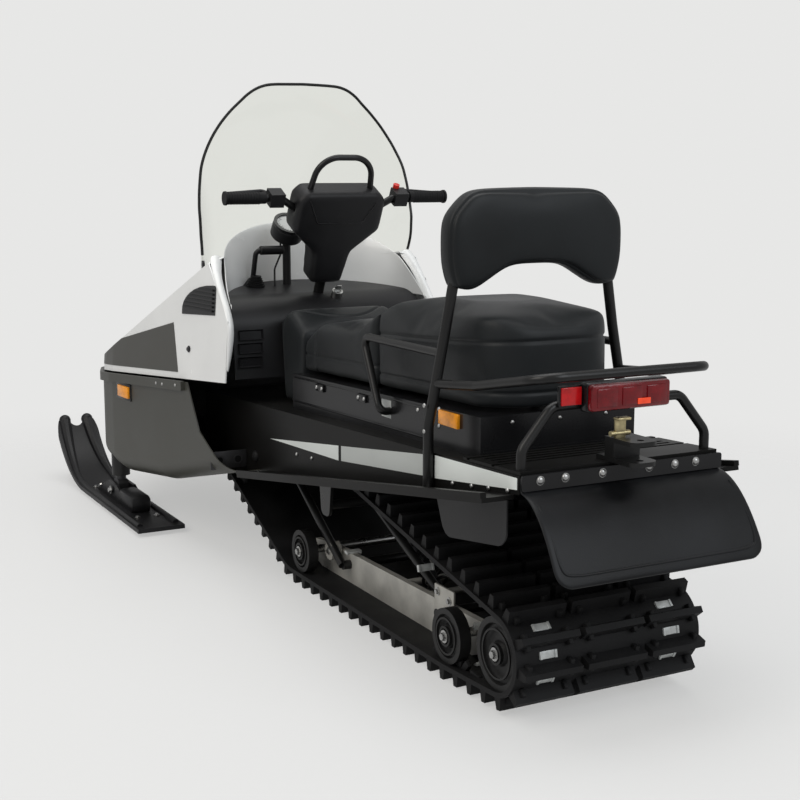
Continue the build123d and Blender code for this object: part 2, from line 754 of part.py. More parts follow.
# Grab handles beside the seat
HANDLE_R = 10
with BuildPart() as grab_handles:
    with BuildLine() as handle_line:
        FilletPolyline(
            (244, POST_Y, 777),
            (238, 640, 774),
            (240, 735, 592),
            (BASE_W / 2 - 2, 735, 592),
            radius=20,
        )
    with BuildSketch(Plane(origin=handle_line.line @ 0, z_dir=handle_line.line % 0)):
        Circle(HANDLE_R)
    sweep()
    mirror(about=Plane.YZ)
    add(post_bore, mode=Mode.SUBTRACT)
    add(seat_base.part, mode=Mode.SUBTRACT)
grab_handles.part.label = "grab_handles"
export_step(grab_handles.part, "parts/grab_handles.step")

# Luggage rail round the rear deck
RAIL_TUBE_R = 11
with BuildPart() as luggage_rail:
    with BuildLine() as loop_line:
        FilletPolyline(
            (258, POST_Y, 708),
            (240, 1200, 722),
            (226, 1440, 768),
            (-226, 1440, 768),
            (-240, 1200, 722),
            (-258, POST_Y, 708),
            radius=60,
        )
    with BuildSketch(Plane(origin=loop_line.line @ 0, z_dir=loop_line.line % 0)):
        Circle(RAIL_TUBE_R)
    sweep()
    add(post_bore, mode=Mode.SUBTRACT)
luggage_rail.part.label = "luggage_rail"
export_step(luggage_rail.part, "parts/luggage_rail.step")

# Rear deck: grooved plate over the end of the tunnel
DECK_FRONT = BOX_REAR + 5
DECK_REAR = TUNNEL_REAR - 2
DECK_T = 8
with BuildPart() as rear_deck:
    with BuildSketch(Plane.YZ):
        with BuildLine():
            Polyline(
                (DECK_FRONT, deck_z(DECK_FRONT)),
                (DECK_REAR, deck_z(DECK_REAR)),
                (DECK_REAR, deck_z(DECK_REAR) + DECK_T),
                (DECK_FRONT, deck_z(DECK_FRONT) + DECK_T),
                close=True,
            )
        make_face()
    extrude(amount=TUNNEL_X - 3, both=True)
    for groove, run in enumerate((2 * TUNNEL_X, 470, 470, 470, 2 * TUNNEL_X)):
        groove_y = DECK_FRONT + 22 + 26 * groove
        with Locations((0, groove_y, deck_z(groove_y) + DECK_T)):
            Box(run, 12, 8, mode=Mode.SUBTRACT)
rear_deck.part.label = "rear_deck"
export_step(rear_deck.part, "parts/rear_deck.step")

# Lamp hoop and tail lamp
HOOP_Y = 1394
HOOP_Z = 700
with BuildPart() as lamp_hoop:
    with BuildLine() as hoop_line:
        FilletPolyline(
            (245, HOOP_Y, deck_z(HOOP_Y) + 4),
            (245, HOOP_Y, 612),
            (170, HOOP_Y, HOOP_Z),
            (-170, HOOP_Y, HOOP_Z),
            (-245, HOOP_Y, 612),
            (-245, HOOP_Y, deck_z(HOOP_Y) + 4),
            radius=35,
        )
    with BuildSketch(Plane(origin=hoop_line.line @ 0, z_dir=hoop_line.line % 0)):
        Circle(RAIL_TUBE_R)
    sweep()
    add(rear_deck.part, mode=Mode.SUBTRACT)
lamp_hoop.part.label = "lamp_hoop"
export_step(lamp_hoop.part, "parts/lamp_hoop.step")

with BuildPart() as tail_lamp:
    with Locations((0, HOOP_Y + RAIL_TUBE_R + GAP, 690)):
        Box(204, 34, 56, align=(Align.CENTER, Align.MIN, Align.MIN))
    fillet(tail_lamp.edges().filter_by(Axis.Y), radius=14)
tail_lamp.part.label = "tail_lamp"
export_step(tail_lamp.part, "parts/tail_lamp.step")

# Snow flap and its clamping strip
FLAP_T = 6
FLAP_W = 552
FLAP_TOP = deck_z(TUNNEL_REAR) + 2
FLAP_LOW = 364
with BuildPart() as snow_flap:
    with BuildSketch(Plane.YZ):
        with BuildLine():
            hang = Line((TUNNEL_REAR + FLAP_T / 2, FLAP_TOP), (TUNNEL_REAR + FLAP_T / 2, FLAP_TOP - 60))
            TangentArc(hang @ 1, (REAR_Y - 0.5, FLAP_LOW), tangent=hang % 1)
        trace(line_width=FLAP_T)
    extrude(amount=FLAP_W / 2, both=True)
    with BuildSketch(Plane.XZ):
        with Locations((0, FLAP_LOW - 10)):
            flap_face = Rectangle(FLAP_W, 400, align=(Align.CENTER, Align.MIN))
        fillet(flap_face.vertices().group_by(Axis.Y)[0], radius=60)
    extrude(amount=-2000, mode=Mode.INTERSECT)
snow_flap.part.label = "snow_flap"
export_step(snow_flap.part, "parts/snow_flap.step")

with BuildPart() as flap_strip:
    with Locations((0, TUNNEL_REAR + FLAP_T, FLAP_TOP)):
        Box(FLAP_W - 20, 5, 34, align=(Align.CENTER, Align.MIN, Align.MAX))
    fillet(flap_strip.edges().filter_by(Axis.Y), radius=6)
flap_strip.part.label = "flap_strip"
export_step(flap_strip.part, "parts/flap_strip.step")

# Tow hitch: two plates with a vertical pin bore
HITCH_PIN_Y = 1478
HITCH_PIN_R = 8
HITCH_LOW = deck_z(DECK_REAR) + DECK_T
HITCH_MOUTH = 34
with BuildPart() as tow_hitch:
    with BuildSketch(Plane.XY.offset(HITCH_LOW)):
        with Locations((0, 1370)):
            hitch_face = Rectangle(70, HITCH_PIN_Y + 24 - 1370, align=(Align.CENTER, Align.MIN))
        fillet(hitch_face.vertices().group_by(Axis.Y)[-1], radius=22)
    extrude(amount=2 * 10 + HITCH_MOUTH)
    with Locations((0, 1432, HITCH_LOW + 10)):
        Box(80, 200, HITCH_MOUTH, align=(Align.CENTER, Align.MIN, Align.MIN), mode=Mode.SUBTRACT)
    with Locations((0, HITCH_PIN_Y, HITCH_LOW)):
        Cylinder(HITCH_PIN_R, 300, mode=Mode.SUBTRACT)
    with Locations((0, 1300, HITCH_LOW + 10)):
        Box(80, 100, 200, align=(Align.CENTER, Align.MIN, Align.MIN), mode=Mode.SUBTRACT)
    with Locations((0, DECK_REAR, HITCH_LOW)):
        Box(70, DECK_REAR - 1370, 6, align=(Align.CENTER, Align.MAX, Align.MAX))
    add(rear_deck.part, mode=Mode.SUBTRACT)
tow_hitch.part.label = "tow_hitch"
export_step(tow_hitch.part, "parts/tow_hitch.step")

# Suspension: slide rails joined by cross bars, bored for the axles
RAIL_X = 150
RAIL_W = 18
AXLE_TUBE_R = 12
ARM_R = 13
FRONT_ARM = ((0, 335), (390, 95))
REAR_ARM = ((450, 290), (900, 100))
SHOCK_FOOT = (740, 95)
AXLES = (REAR_WHEEL, MID_WHEEL, FRONT_WHEEL)
with BuildPart() as slide_rails:
    for side in (1, -1):
        with BuildSketch(Plane.YZ.offset(side * RAIL_X)):
            with BuildLine():
                Polyline(
                    (200, FLAT_Z + GAP),
                    (1060, FLAT_Z + GAP),
                    (1130, 70),
                    (1325, 105),
                    (1340, 160),
                    (1260, 172),
                    (1140, 138),
                    (240, 126),
                    (140, 112),
                    (130, 66),
                    close=True,
                )
            rail_face = make_face()
            fillet(rail_face.vertices().filter_by(lambda v: v.X > 1200 or v.X < 150), radius=14)
            with Locations(*[(axle_y, axle_z) for axle_y, axle_z, axle_r in AXLES]):
                Circle(AXLE_TUBE_R + 0.05, mode=Mode.SUBTRACT)
            with Locations(FRONT_ARM[1], REAR_ARM[1]):
                Circle(ARM_R + 0.05, mode=Mode.SUBTRACT)
        extrude(amount=RAIL_W / 2, both=True)
    with Locations((0, 620, 95), (0, SHOCK_FOOT[0], SHOCK_FOOT[1])):
        Cylinder(9, 2 * RAIL_X - RAIL_W, rotation=(0, 90, 0))
slide_rails.part.label = "slide_rails"
export_step(slide_rails.part, "parts/slide_rails.step")

# Swing arms: side tubes between a tunnel cross tube and a rail cross tube
HANGER_T = 9
HANGER_X = TUNNEL_X - SHEET - HANGER_T
ARMS = (
    ("front_swing_arm", FRONT_ARM, 182, TUNNEL_X - SHEET, 182),
    ("rear_swing_arm", REAR_ARM, 118, HANGER_X, RAIL_X + RAIL_W / 2 + 8),
)
for arm_name, arm_ends, arm_x, upper_half, lower_half in ARMS:
    upper = Vector(0, *arm_ends[0])
    lower = Vector(0, *arm_ends[1])
    with BuildPart() as arm:
        with Locations((0, upper.Y, upper.Z)):
            Cylinder(ARM_R, 2 * upper_half, rotation=(0, 90, 0))
        with Locations((0, lower.Y, lower.Z)):
            Cylinder(ARM_R, 2 * lower_half, rotation=(0, 90, 0))
        for side in (1, -1):
            with BuildSketch(Plane(origin=(side * arm_x, upper.Y, upper.Z), z_dir=lower - upper)):
                Circle(ARM_R - 1)
            extrude(amount=(lower - upper).length)
    arm.part.label = arm_name
    export_step(arm.part, "parts/" + arm_name + ".step")
    if arm_name == "rear_swing_arm":
        rear_arm_part = arm.part

# Hangers carrying the rear arm from the tunnel sides
with BuildPart() as arm_hangers:
    for hanger_x in (HANGER_X, -HANGER_X - HANGER_T):
        with BuildSketch(Plane.YZ.offset(hanger_x)):
            with BuildLine():
                Polyline((400, 450), (500, 450), (475, 262), (425, 262), close=True)
            hanger_face = make_face()
            fillet(hanger_face.vertices().group_by(Axis.Y)[0], radius=20)
        extrude(amount=HANGER_T)
arm_hangers.part.label = "arm_hangers"
export_step(arm_hangers.part, "parts/arm_hangers.step")

# Shock absorbers from the rear arm's tube to the rail cross bar
SHOCK_TOP = Vector(0, *REAR_ARM[0])
SHOCK_LOW = Vector(0, *SHOCK_FOOT)
with BuildPart() as shock_absorbers:
    for shock_x in (60, -60):
        reach = SHOCK_LOW - SHOCK_TOP
        with BuildSketch(Plane(origin=(shock_x, SHOCK_TOP.Y, SHOCK_TOP.Z), z_dir=reach)):
            Circle(12)
        extrude(amount=reach.length)
        body_top = SHOCK_TOP + reach * 0.15
        with BuildSketch(Plane(origin=(shock_x, body_top.Y, body_top.Z), z_dir=reach)):
            Circle(26)
        extrude(amount=reach.length * 0.5)
    with Locations((0, SHOCK_TOP.Y, SHOCK_TOP.Z)):
        Cylinder(ARM_R + GAP, 400, rotation=(0, 90, 0), mode=Mode.SUBTRACT)
    with Locations((0, SHOCK_LOW.Y, SHOCK_LOW.Z)):
        Cylinder(9 + GAP, 400, rotation=(0, 90, 0), mode=Mode.SUBTRACT)
shock_absorbers.part.label = "shock_absorbers"
export_step(shock_absorbers.part, "parts/shock_absorbers.step")

# Idler wheels: rim, web and hub turned about each axle
WHEEL_W = 30
WHEEL_X = 226
WHEEL_SETS = (
    ("rear_idlers", REAR_WHEEL, (-WHEEL_X, 0, WHEEL_X)),
    ("middle_idlers", MID_WHEEL, (-WHEEL_X, WHEEL_X)),
    ("front_idlers", FRONT_WHEEL, (-WHEEL_X, WHEEL_X)),
)
for set_name, (axle_y, axle_z, belt_r), wheel_places in WHEEL_SETS:
    rim = belt_r - GAP
    with BuildPart() as wheels:
        for wheel_x in wheel_places:
            with BuildSketch(Plane(origin=(wheel_x, axle_y, axle_z), x_dir=(1, 0, 0), z_dir=(0, -1, 0))):
                with BuildLine():
                    Polyline(
                        (-WHEEL_W / 2, rim),
                        (WHEEL_W / 2, rim),
                        (WHEEL_W / 2, rim - 14),
                        (5, rim - 18),
                        (5, 30),
                        (12, 26),
                        (12, AXLE_TUBE_R + 0.05),
                        (-12, AXLE_TUBE_R + 0.05),
                        (-12, 26),
                        (-5, 30),
                        (-5, rim - 18),
                        (-WHEEL_W / 2, rim - 14),
                        close=True,
                    )
                make_face()
            revolve(axis=Axis((wheel_x, axle_y, axle_z), (1, 0, 0)))
    wheels.part.label = set_name
    export_step(wheels.part, "parts/" + set_name + ".step")

with BuildPart() as wheel_axles:
    with Locations(*[(0, axle_y, axle_z) for axle_y, axle_z, axle_r in AXLES]):
        Cylinder(AXLE_TUBE_R, 2 * WHEEL_X + 36, rotation=(0, 90, 0))
wheel_axles.part.label = "wheel_axles"
export_step(wheel_axles.part, "parts/wheel_axles.step")

# Drive axle and toothed sprockets at the front of the track
DRIVE_R = 15
with BuildPart() as drive_sprockets:
    for sprocket_x in (-90, 90):
        with BuildSketch(Plane.YZ.offset(sprocket_x)):
            with Locations((SPROCKET[0], SPROCKET[1])):
                Circle(SPROCKET[2] - GAP)
                Circle(DRIVE_R + 0.05, mode=Mode.SUBTRACT)
                with PolarLocations(SPROCKET[2] * 0.6, 6):
                    Circle(13, mode=Mode.SUBTRACT)
        extrude(amount=20, both=True)
drive_sprockets.part.label = "drive_sprockets"
export_step(drive_sprockets.part, "parts/drive_sprockets.step")

with BuildPart() as drive_axle:
    with Locations((0, SPROCKET[0], SPROCKET[1])):
        Cylinder(DRIVE_R, 2 * (TUNNEL_X - SHEET), rotation=(0, 90, 0))
drive_axle.part.label = "drive_axle"
export_step(drive_axle.part, "parts/drive_axle.step")

# Steering: column, shroud, handlebar, grips, levers and hoop on the leaning axis
BAR_V = 320
BAR_MID_V = 275


def bar_form(radius):
    with BuildPart() as bar:
        with BuildLine(COLUMN_FACE) as bar_line:
            FilletPolyline(
                (-BAR_HALF, BAR_V),
                (-190, BAR_V),
                (-120, BAR_MID_V),
                (120, BAR_MID_V),
                (190, BAR_V),
                (BAR_HALF, BAR_V),
                radius=40,
            )
        with BuildSketch(Plane(origin=bar_line.line @ 0, z_dir=bar_line.line % 0)):
            Circle(radius)
        sweep()
    return bar.part


bar_bore = bar_form(BAR_R + GAP)
with BuildPart() as handlebar:
    add(bar_form(BAR_R))
handlebar.part.label = "handlebar"
export_step(handlebar.part, "parts/handlebar.step")

COLUMN_TOP = 40
with BuildPart() as steering_column:
    with BuildSketch(COLUMN_PLANE.offset(COLUMN_TOP)):
        Circle(COLUMN_R)
    extrude(amount=-180)
steering_column.part.label = "steering_column"
export_step(steering_column.part, "parts/steering_column.step")

with BuildPart() as steering_shroud:
    with BuildSketch(COLUMN_FACE):
        with BuildLine():
            Polyline(
                (0, COLUMN_TOP),
                (50, COLUMN_TOP),
                (62, 150),
                (143, 225),
                (143, 325),
                (118, 350),
                (0, 350),
            )
            mirror(about=Plane.YZ)
        shroud_face = make_face()
        fillet(shroud_face.vertices().filter_by(lambda v: abs(v.X) > 1 and v.Y > 100), radius=16)
    extrude(amount=40, both=True)
    chamfer(steering_shroud.faces().sort_by(Axis(COLUMN_FOOT, COLUMN_FACE.z_dir))[0].edges(), 9)
    add(bar_bore, mode=Mode.SUBTRACT)
steering_shroud.part.label = "steering_shroud"
export_step(steering_shroud.part, "parts/steering_shroud.step")

GRIP_R = 17
GRIP_LEN = 124
with BuildPart() as grips:
    with BuildSketch(COLUMN_FACE):
        with Locations((BAR_HALF + 6, BAR_V), (GRIP_LEN - BAR_HALF - 6, BAR_V)):
            Rectangle(GRIP_LEN, GRIP_R, align=(Align.MAX, Align.MIN))
    grip_axis = Axis(COLUMN_FACE.from_local_coords((0, BAR_V, 0)), (1, 0, 0))
    revolve(axis=grip_axis)
    add(bar_bore, mode=Mode.SUBTRACT)
grips.part.label = "grips"
export_step(grips.part, "parts/grips.step")

LEVER_IN = 205
LEVER_OUT = 345
with BuildPart() as control_levers:
    with BuildLine(COLUMN_FACE) as brake_line:
        FilletPolyline(
            (LEVER_IN, BAR_V, 18),
            (LEVER_IN + 25, BAR_V - 4, 50),
            (LEVER_OUT, BAR_V - 14, 52),
            radius=14,
        )
    with BuildSketch(Plane(origin=brake_line.line @ 0, z_dir=brake_line.line % 0)):
        Circle(6)
    sweep()
    with BuildSketch(COLUMN_FACE):
        with Locations((LEVER_IN, BAR_V)):
            Rectangle(44, 42)
    extrude(amount=22, both=True)
    mirror(about=Plane.YZ)
    add(bar_bore, mode=Mode.SUBTRACT)
control_levers.part.label = "control_levers"
export_step(control_levers.part, "parts/control_levers.step")

# Hoop over the shroud
with BuildPart() as bar_hoop:
    with BuildLine(COLUMN_FACE) as over_line:
        FilletPolyline(
            (-100, 342),
            (-84, 452),
            (84, 452),
            (100, 342),
            radius=70,
        )
    with BuildSketch(Plane(origin=over_line.line @ 0, z_dir=over_line.line % 0)):
        Circle(9)
    sweep()
    add(steering_shroud.part, mode=Mode.SUBTRACT)
bar_hoop.part.label = "bar_hoop"
export_step(bar_hoop.part, "parts/bar_hoop.step")
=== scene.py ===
import math

import bmesh
import bpy
from bpy.props import FloatProperty, FloatVectorProperty, IntProperty, PointerProperty
from mathutils import Matrix, Vector
from mathutils.bvhtree import BVHTree


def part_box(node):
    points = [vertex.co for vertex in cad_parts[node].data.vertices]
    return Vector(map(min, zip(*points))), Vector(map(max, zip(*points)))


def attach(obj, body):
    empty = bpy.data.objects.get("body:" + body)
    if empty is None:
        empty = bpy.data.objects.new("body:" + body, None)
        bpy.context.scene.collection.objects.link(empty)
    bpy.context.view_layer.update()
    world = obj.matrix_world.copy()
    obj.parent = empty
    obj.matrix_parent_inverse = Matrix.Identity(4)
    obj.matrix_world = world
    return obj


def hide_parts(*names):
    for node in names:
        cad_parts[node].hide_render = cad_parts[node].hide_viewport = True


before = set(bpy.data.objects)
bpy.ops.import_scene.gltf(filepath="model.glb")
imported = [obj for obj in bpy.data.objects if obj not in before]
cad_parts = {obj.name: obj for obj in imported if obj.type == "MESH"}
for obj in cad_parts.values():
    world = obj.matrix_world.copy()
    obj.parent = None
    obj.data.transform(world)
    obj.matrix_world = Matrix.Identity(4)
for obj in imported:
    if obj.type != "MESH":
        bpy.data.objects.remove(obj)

bl_info = {
    "name": "Snowmobile looks",
    "version": (1, 0, 0),
    "blender": (4, 5, 0),
    "location": "3D View > Sidebar > Snowmobile",
    "description": "Finishes, upholstery, trim and hardware around the packed snowmobile",
    "category": "Object",
}

SIDES = (1, -1)
UP = Vector((0, 0, 1))
REAR = Vector((0, 1, 0))


class PaintSettings(bpy.types.PropertyGroup):
    """Linear colours of the painted and moulded surfaces."""

    body: FloatVectorProperty(
        name="Body", description="Gloss paint of the hood", subtype="COLOR", default=(0.90, 0.91, 0.90)
    )
    pan: FloatVectorProperty(
        name="Pan", description="Moulded belly pan", subtype="COLOR", default=(0.050, 0.050, 0.041)
    )
    black: FloatVectorProperty(
        name="Black", description="Moulded black plastic", subtype="COLOR", default=(0.010, 0.010, 0.011)
    )
    vinyl: FloatVectorProperty(
        name="Vinyl", description="Seat covers", subtype="COLOR", default=(0.0112, 0.0130, 0.0142)
    )
    stripe: FloatVectorProperty(
        name="Stripe", description="Pale side stripe", subtype="COLOR", default=(0.60, 0.63, 0.61)
    )
    amber: FloatVectorProperty(
        name="Amber", description="Side markers", subtype="COLOR", default=(0.85, 0.30, 0.01)
    )
    red: FloatVectorProperty(
        name="Red", description="Rear lens and reflector", subtype="COLOR", default=(0.170, 0.0015, 0.0050)
    )


class CushionSettings(bpy.types.PropertyGroup):
    """How the upholstery is swollen and sewn."""

    voxel: FloatProperty(
        name="Voxel", description="Cell of the remeshed pad", default=0.0065, unit="LENGTH"
    )
    shrink: FloatProperty(
        name="Shrink", description="How far a pad starts inside its solid", default=0.009, unit="LENGTH"
    )
    cap: FloatProperty(
        name="Cap", description="Furthest a point may swell", default=0.022, unit="LENGTH"
    )
    pressure: FloatProperty(name="Pressure", description="Pressure of the filling", default=4.0)
    stiffness: FloatProperty(name="Stiffness", description="Stiffness of the cover", default=120.0)
    ironing: IntProperty(name="Ironing", description="Rounds of smoothing after the swelling", default=10)
    frames: IntProperty(name="Frames", description="Steps of the cloth", default=20)
    seam_depth: FloatProperty(
        name="Seam depth", description="How deep a sewn line sinks", default=0.004, unit="LENGTH"
    )
    seam_width: FloatProperty(
        name="Seam width", description="Half width of a sewn line", default=0.0042, unit="LENGTH"
    )


class HardwareSettings(bpy.types.PropertyGroup):
    """Sizes of bolts, trim and track hardware."""

    bolt: FloatProperty(name="Bolt", description="Radius of a bolt head", default=0.007, unit="LENGTH")
    edge: FloatProperty(name="Edge", description="Rounding of small blocks", default=0.0015, unit="LENGTH")
    trim: FloatProperty(
        name="Trim", description="Radius of the windshield trim", default=0.0045, unit="LENGTH"
    )
    lift: FloatProperty(
        name="Lift", description="How far a film lies off its panel", default=0.0008, unit="LENGTH"
    )
    clip_width: FloatProperty(
        name="Clip", description="Width of a track clip", default=0.046, unit="LENGTH"
    )


class StageSettings(bpy.types.PropertyGroup):
    """Camera and light of the studio."""

    lens: FloatProperty(name="Lens", description="Focal length in millimetres", default=61.11)
    eye: FloatVectorProperty(
        name="Eye", description="Place of the camera", subtype="XYZ", unit="LENGTH",
        default=(1.771, 3.732, 1.183),
    )
    heading: FloatProperty(
        name="Heading", description="Turn of the camera from +Y", subtype="ANGLE",
        default=math.radians(207.93),
    )
    pitch: FloatProperty(
        name="Pitch", description="Tilt of the camera", subtype="ANGLE", default=math.radians(-9.46)
    )
    backdrop: FloatProperty(name="Backdrop", description="Grey of the backdrop", default=0.80)
    dome: FloatProperty(name="Dome", description="Strength of the even light", default=0.45)


def settings(name):
    return getattr(bpy.context.scene, "snowmobile_" + name)


# Materials: each is made once and read by name

# Fine patterns of a surface: texture, the output that is read, its inputs and its settings
PATTERNS = {
    "noise": ("TexNoise", "Fac", {"Detail": 3.0}, {}),
    "leather": ("TexVoronoi", "Distance", {}, {"feature": "DISTANCE_TO_EDGE"}),
    "prisms": ("TexVoronoi", "Distance", {}, {"feature": "F1"}),
    "ribs": ("TexWave", "Fac", {}, {"bands_direction": "X"}),
}
FILM = dict(colour="stripe", roughness=0.35, drift=0.05, grain=150.0, depth=0.0001)
LENS = dict(roughness=0.14, blotch=45.0, grain=260.0, depth=0.0005, coat=0.4, sheen=0.35, pattern="prisms")
# A colour is linear, or the name of one of the paint settings
SURFACES = {
    "body_paint": dict(colour="body", roughness=0.24, drift=0.03, grain=90.0, depth=0.0001, coat=0.6),
    "pan_plastic": dict(colour="pan", roughness=0.42, drift=0.10, blotch=3.0, grain=700.0, depth=0.0003),
    "panel_film": dict(colour=(0.051, 0.050, 0.042), roughness=0.34, drift=0.08, grain=200.0, depth=0.0001),
    "moulded_black": dict(colour="black", roughness=0.42, drift=0.35, grain=900.0, depth=0.0003, sheen=0.3),
    "gloss_plastic": dict(colour="black", roughness=0.22, drift=0.3, grain=150.0, depth=0.0001, sheen=0.35),
    "sheet_black": dict(
        colour=(0.008, 0.0078, 0.0074), roughness=0.36,
        drift=0.35, blotch=2.5, grain=120.0, depth=0.0002, sheen=0.12,
    ),
    "painted_tube": dict(
        colour=(0.009, 0.009, 0.009), roughness=0.30, drift=0.35, grain=260.0, depth=0.0002, sheen=0.4
    ),
    "rubber": dict(
        colour=(0.0085, 0.0085, 0.009), roughness=0.60,
        drift=0.45, blotch=9.0, grain=240.0, depth=0.0009, sheen=0.22,
    ),
    "flap_rubber": dict(
        colour=(0.0070, 0.0075, 0.0085), roughness=0.36, drift=0.6, blotch=4.5, grain=320.0, sheen=0.24
    ),
    "wheel_plastic": dict(
        colour=(0.011, 0.011, 0.011), roughness=0.46, drift=0.4, blotch=12.0, grain=420.0, sheen=0.3
    ),
    "vinyl": dict(
        colour="vinyl", roughness=0.38,
        drift=0.22, blotch=4.0, grain=620.0, sheen=0.24, fuzz=0.03, pattern="leather",
    ),
    "satin_alloy": dict(
        colour=(0.52, 0.51, 0.47), roughness=0.42, metallic=0.45, drift=0.18, blotch=14.0, grain=160.0
    ),
    "plated_steel": dict(
        colour=(0.50, 0.50, 0.49), roughness=0.30, metallic=1.0, drift=0.2, blotch=40.0, grain=500.0
    ),
    "clip_steel": dict(colour=(0.58, 0.60, 0.59), roughness=0.38, metallic=0.35, drift=0.2, blotch=50.0),
    "zinc": dict(colour=(0.62, 0.53, 0.30), roughness=0.34, metallic=0.9, blotch=60.0, grain=400.0),
    "cast_grey": dict(
        colour=(0.055, 0.055, 0.058), roughness=0.45, metallic=0.5, drift=0.3, blotch=20.0, grain=220.0
    ),
    "dial_face": dict(colour=(0.30, 0.31, 0.31), roughness=0.18, coat=1.0),
    "ribbed_glass": dict(
        colour=(0.62, 0.64, 0.66), roughness=0.10, metallic=0.6,
        drift=0.15, blotch=30.0, grain=45.0, depth=0.002, coat=1.0, pattern="ribs",
    ),
    "label_film": dict(FILM, tint=0.75),
    # The three stripe films are lighter and darker copies of one pale stripe: painted light and shade on
    # the tunnel side
    "stripe_front_film": dict(FILM, tint=1.25),
    "stripe_middle_film": dict(FILM, tint=0.85),
    "stripe_rear_film": dict(FILM, tint=1.45),
    "amber_lens": dict(LENS, colour="amber", glow=0.12),
    "lens_red": dict(LENS, colour="red", glow=0.02),
    # The reflector's faint glow is painted light: a reflector gives no light of its own
    "reflector_red": dict(LENS, colour=(0.50, 0.006, 0.008), glow=0.10),
    "lamp_orange": dict(LENS, colour=(0.90, 0.07, 0.02), glow=0.30),
    # The stop button's faint glow is painted light: the button gives no light of its own
    "button_red": dict(LENS, colour=(0.70, 0.030, 0.020), glow=0.05),
}
CLEAR_TINT = (0.962, 0.968, 0.945, 1.0)


def shade(colour, share):
    """A colour made darker or lighter, with full alpha."""
    return [min(1.0, channel * share) for channel in colour] + [1.0]


def feed(tree, node, inputs):
    """Sets the inputs of a shader node: each a value, or a pair of another node and its output."""
    for key, value in inputs.items():
        if isinstance(value, tuple) and isinstance(value[0], bpy.types.Node):
            tree.links.new(value[0].outputs[value[1]], node.inputs[key])
        else:
            node.inputs[key].default_value = value


def add_node(tree, kind, inputs, **attributes):
    made = tree.nodes.new("ShaderNode" + kind)
    for key, value in attributes.items():
        setattr(made, key, value)
    feed(tree, made, inputs)
    return made


def add_ramp(tree, source, *stops):
    """A colour ramp over a noise, from two stops: place and colour."""
    made = add_node(tree, "ValToRGB", {"Fac": (source, "Fac")})
    for element, (position, colour) in zip(made.color_ramp.elements, stops):
        element.position = position
        element.color = colour
    return made


def show_mix(tree, output, share, first, second):
    """Mixes two shaders by a share and shows them on the output."""
    mixed = add_node(tree, "MixShader", {"Fac": share, 1: first, 2: second})
    feed(tree, tree.nodes[output], {"Surface": (mixed, "Shader")})


def new_material(name):
    made = bpy.data.materials.new(name)
    made.use_nodes = True
    return made, made.node_tree


def surface(
    name, colour, roughness, metallic=0.0, tint=1.0, drift=0.25, blotch=5.0, grain=300.0, depth=0.0004,
    coat=0.0, sheen=0.5, fuzz=0.0, glow=0.0, pattern="noise",
):
    """A surface whose colour and gloss drift in blotches, under a fine pattern."""
    if isinstance(colour, str):
        colour = getattr(settings("paint"), colour)
    # tint scales the colour; on the stripe films it is painted light and shade
    colour = [channel * tint for channel in colour]
    made, tree = new_material(name)
    spot = (add_node(tree, "TexCoord", {}), "Object")
    wander = add_node(tree, "TexNoise", {"Scale": blotch, "Detail": 8.0, "Vector": spot})
    tone = add_ramp(tree, wander, (0.32, shade(colour, 1.0 - drift)), (0.68, shade(colour, 1.0 + drift)))
    gloss = add_node(tree, "MapRange", {
        "Value": (wander, "Fac"),
        "From Min": 0.3,
        "From Max": 0.7,
        "To Min": roughness * 0.85,
        "To Max": min(1.0, roughness * 1.18),
    })
    texture, output, inputs, attributes = PATTERNS[pattern]
    fine = add_node(tree, texture, {"Scale": grain, "Vector": spot, **inputs}, **attributes)
    bump = add_node(tree, "Bump", {"Strength": 0.6, "Distance": depth, "Height": (fine, output)})
    feed(tree, tree.nodes["Principled BSDF"], {
        "Base Color": (tone, "Color"),
        "Roughness": (gloss, "Result"),
        "Normal": (bump, "Normal"),
        "Metallic": metallic,
        "Specular IOR Level": sheen,
        "Coat Weight": coat,
        "Coat Roughness": 0.12,
        "Sheen Weight": fuzz,
        # glow gives an emission of the surface's own colour; on the reflector and the stop button it is a
        # painted glow
        "Emission Color": shade(colour, 1.0),
        "Emission Strength": glow,
    })
    return made


def clear_sheet(name):
    """Thin clear plastic: mostly see-through, with a sheen at shallow angles and faint waves."""
    made, tree = new_material(name)
    tree.nodes.remove(tree.nodes["Principled BSDF"])
    through = add_node(tree, "BsdfTransparent", {"Color": CLEAR_TINT})
    place = add_node(tree, "TexCoord", {})
    haze = add_node(tree, "TexNoise", {"Scale": 9.0, "Vector": (place, "Object")})
    bump = add_node(tree, "Bump", {"Strength": 0.3, "Distance": 0.0006, "Height": (haze, "Fac")})
    sheen = add_node(tree, "BsdfGlossy", {"Roughness": 0.06, "Normal": (bump, "Normal")})
    facing = (add_node(tree, "LayerWeight", {"Blend": 0.5}), "Facing")
    edge = add_node(tree, "MapRange", {"Value": facing, "From Min": 0.55, "To Min": 0.015, "To Max": 0.22})
    show_mix(tree, "Material Output", (edge, "Result"), (through, "BSDF"), (sheen, "BSDF"))
    return made


def finish(name):
    """The material of a name, made when it is first asked for."""
    made = bpy.data.materials.get(name)
    if made:
        return made
    if name == "clear_sheet":
        return clear_sheet(name)
    return surface(name, **SURFACES[name])


# Shapes


def turned(axis):
    """Turns +Z onto an axis."""
    return UP.rotation_difference(Vector(axis)).to_matrix().to_4x4()


def round_edges(bm, verts, width):
    edges = {edge for vert in verts for edge in vert.link_edges}
    bmesh.ops.bevel(
        bm, geom=list(edges), offset=width, segments=2, profile=0.5, affect="EDGES", material=-1
    )


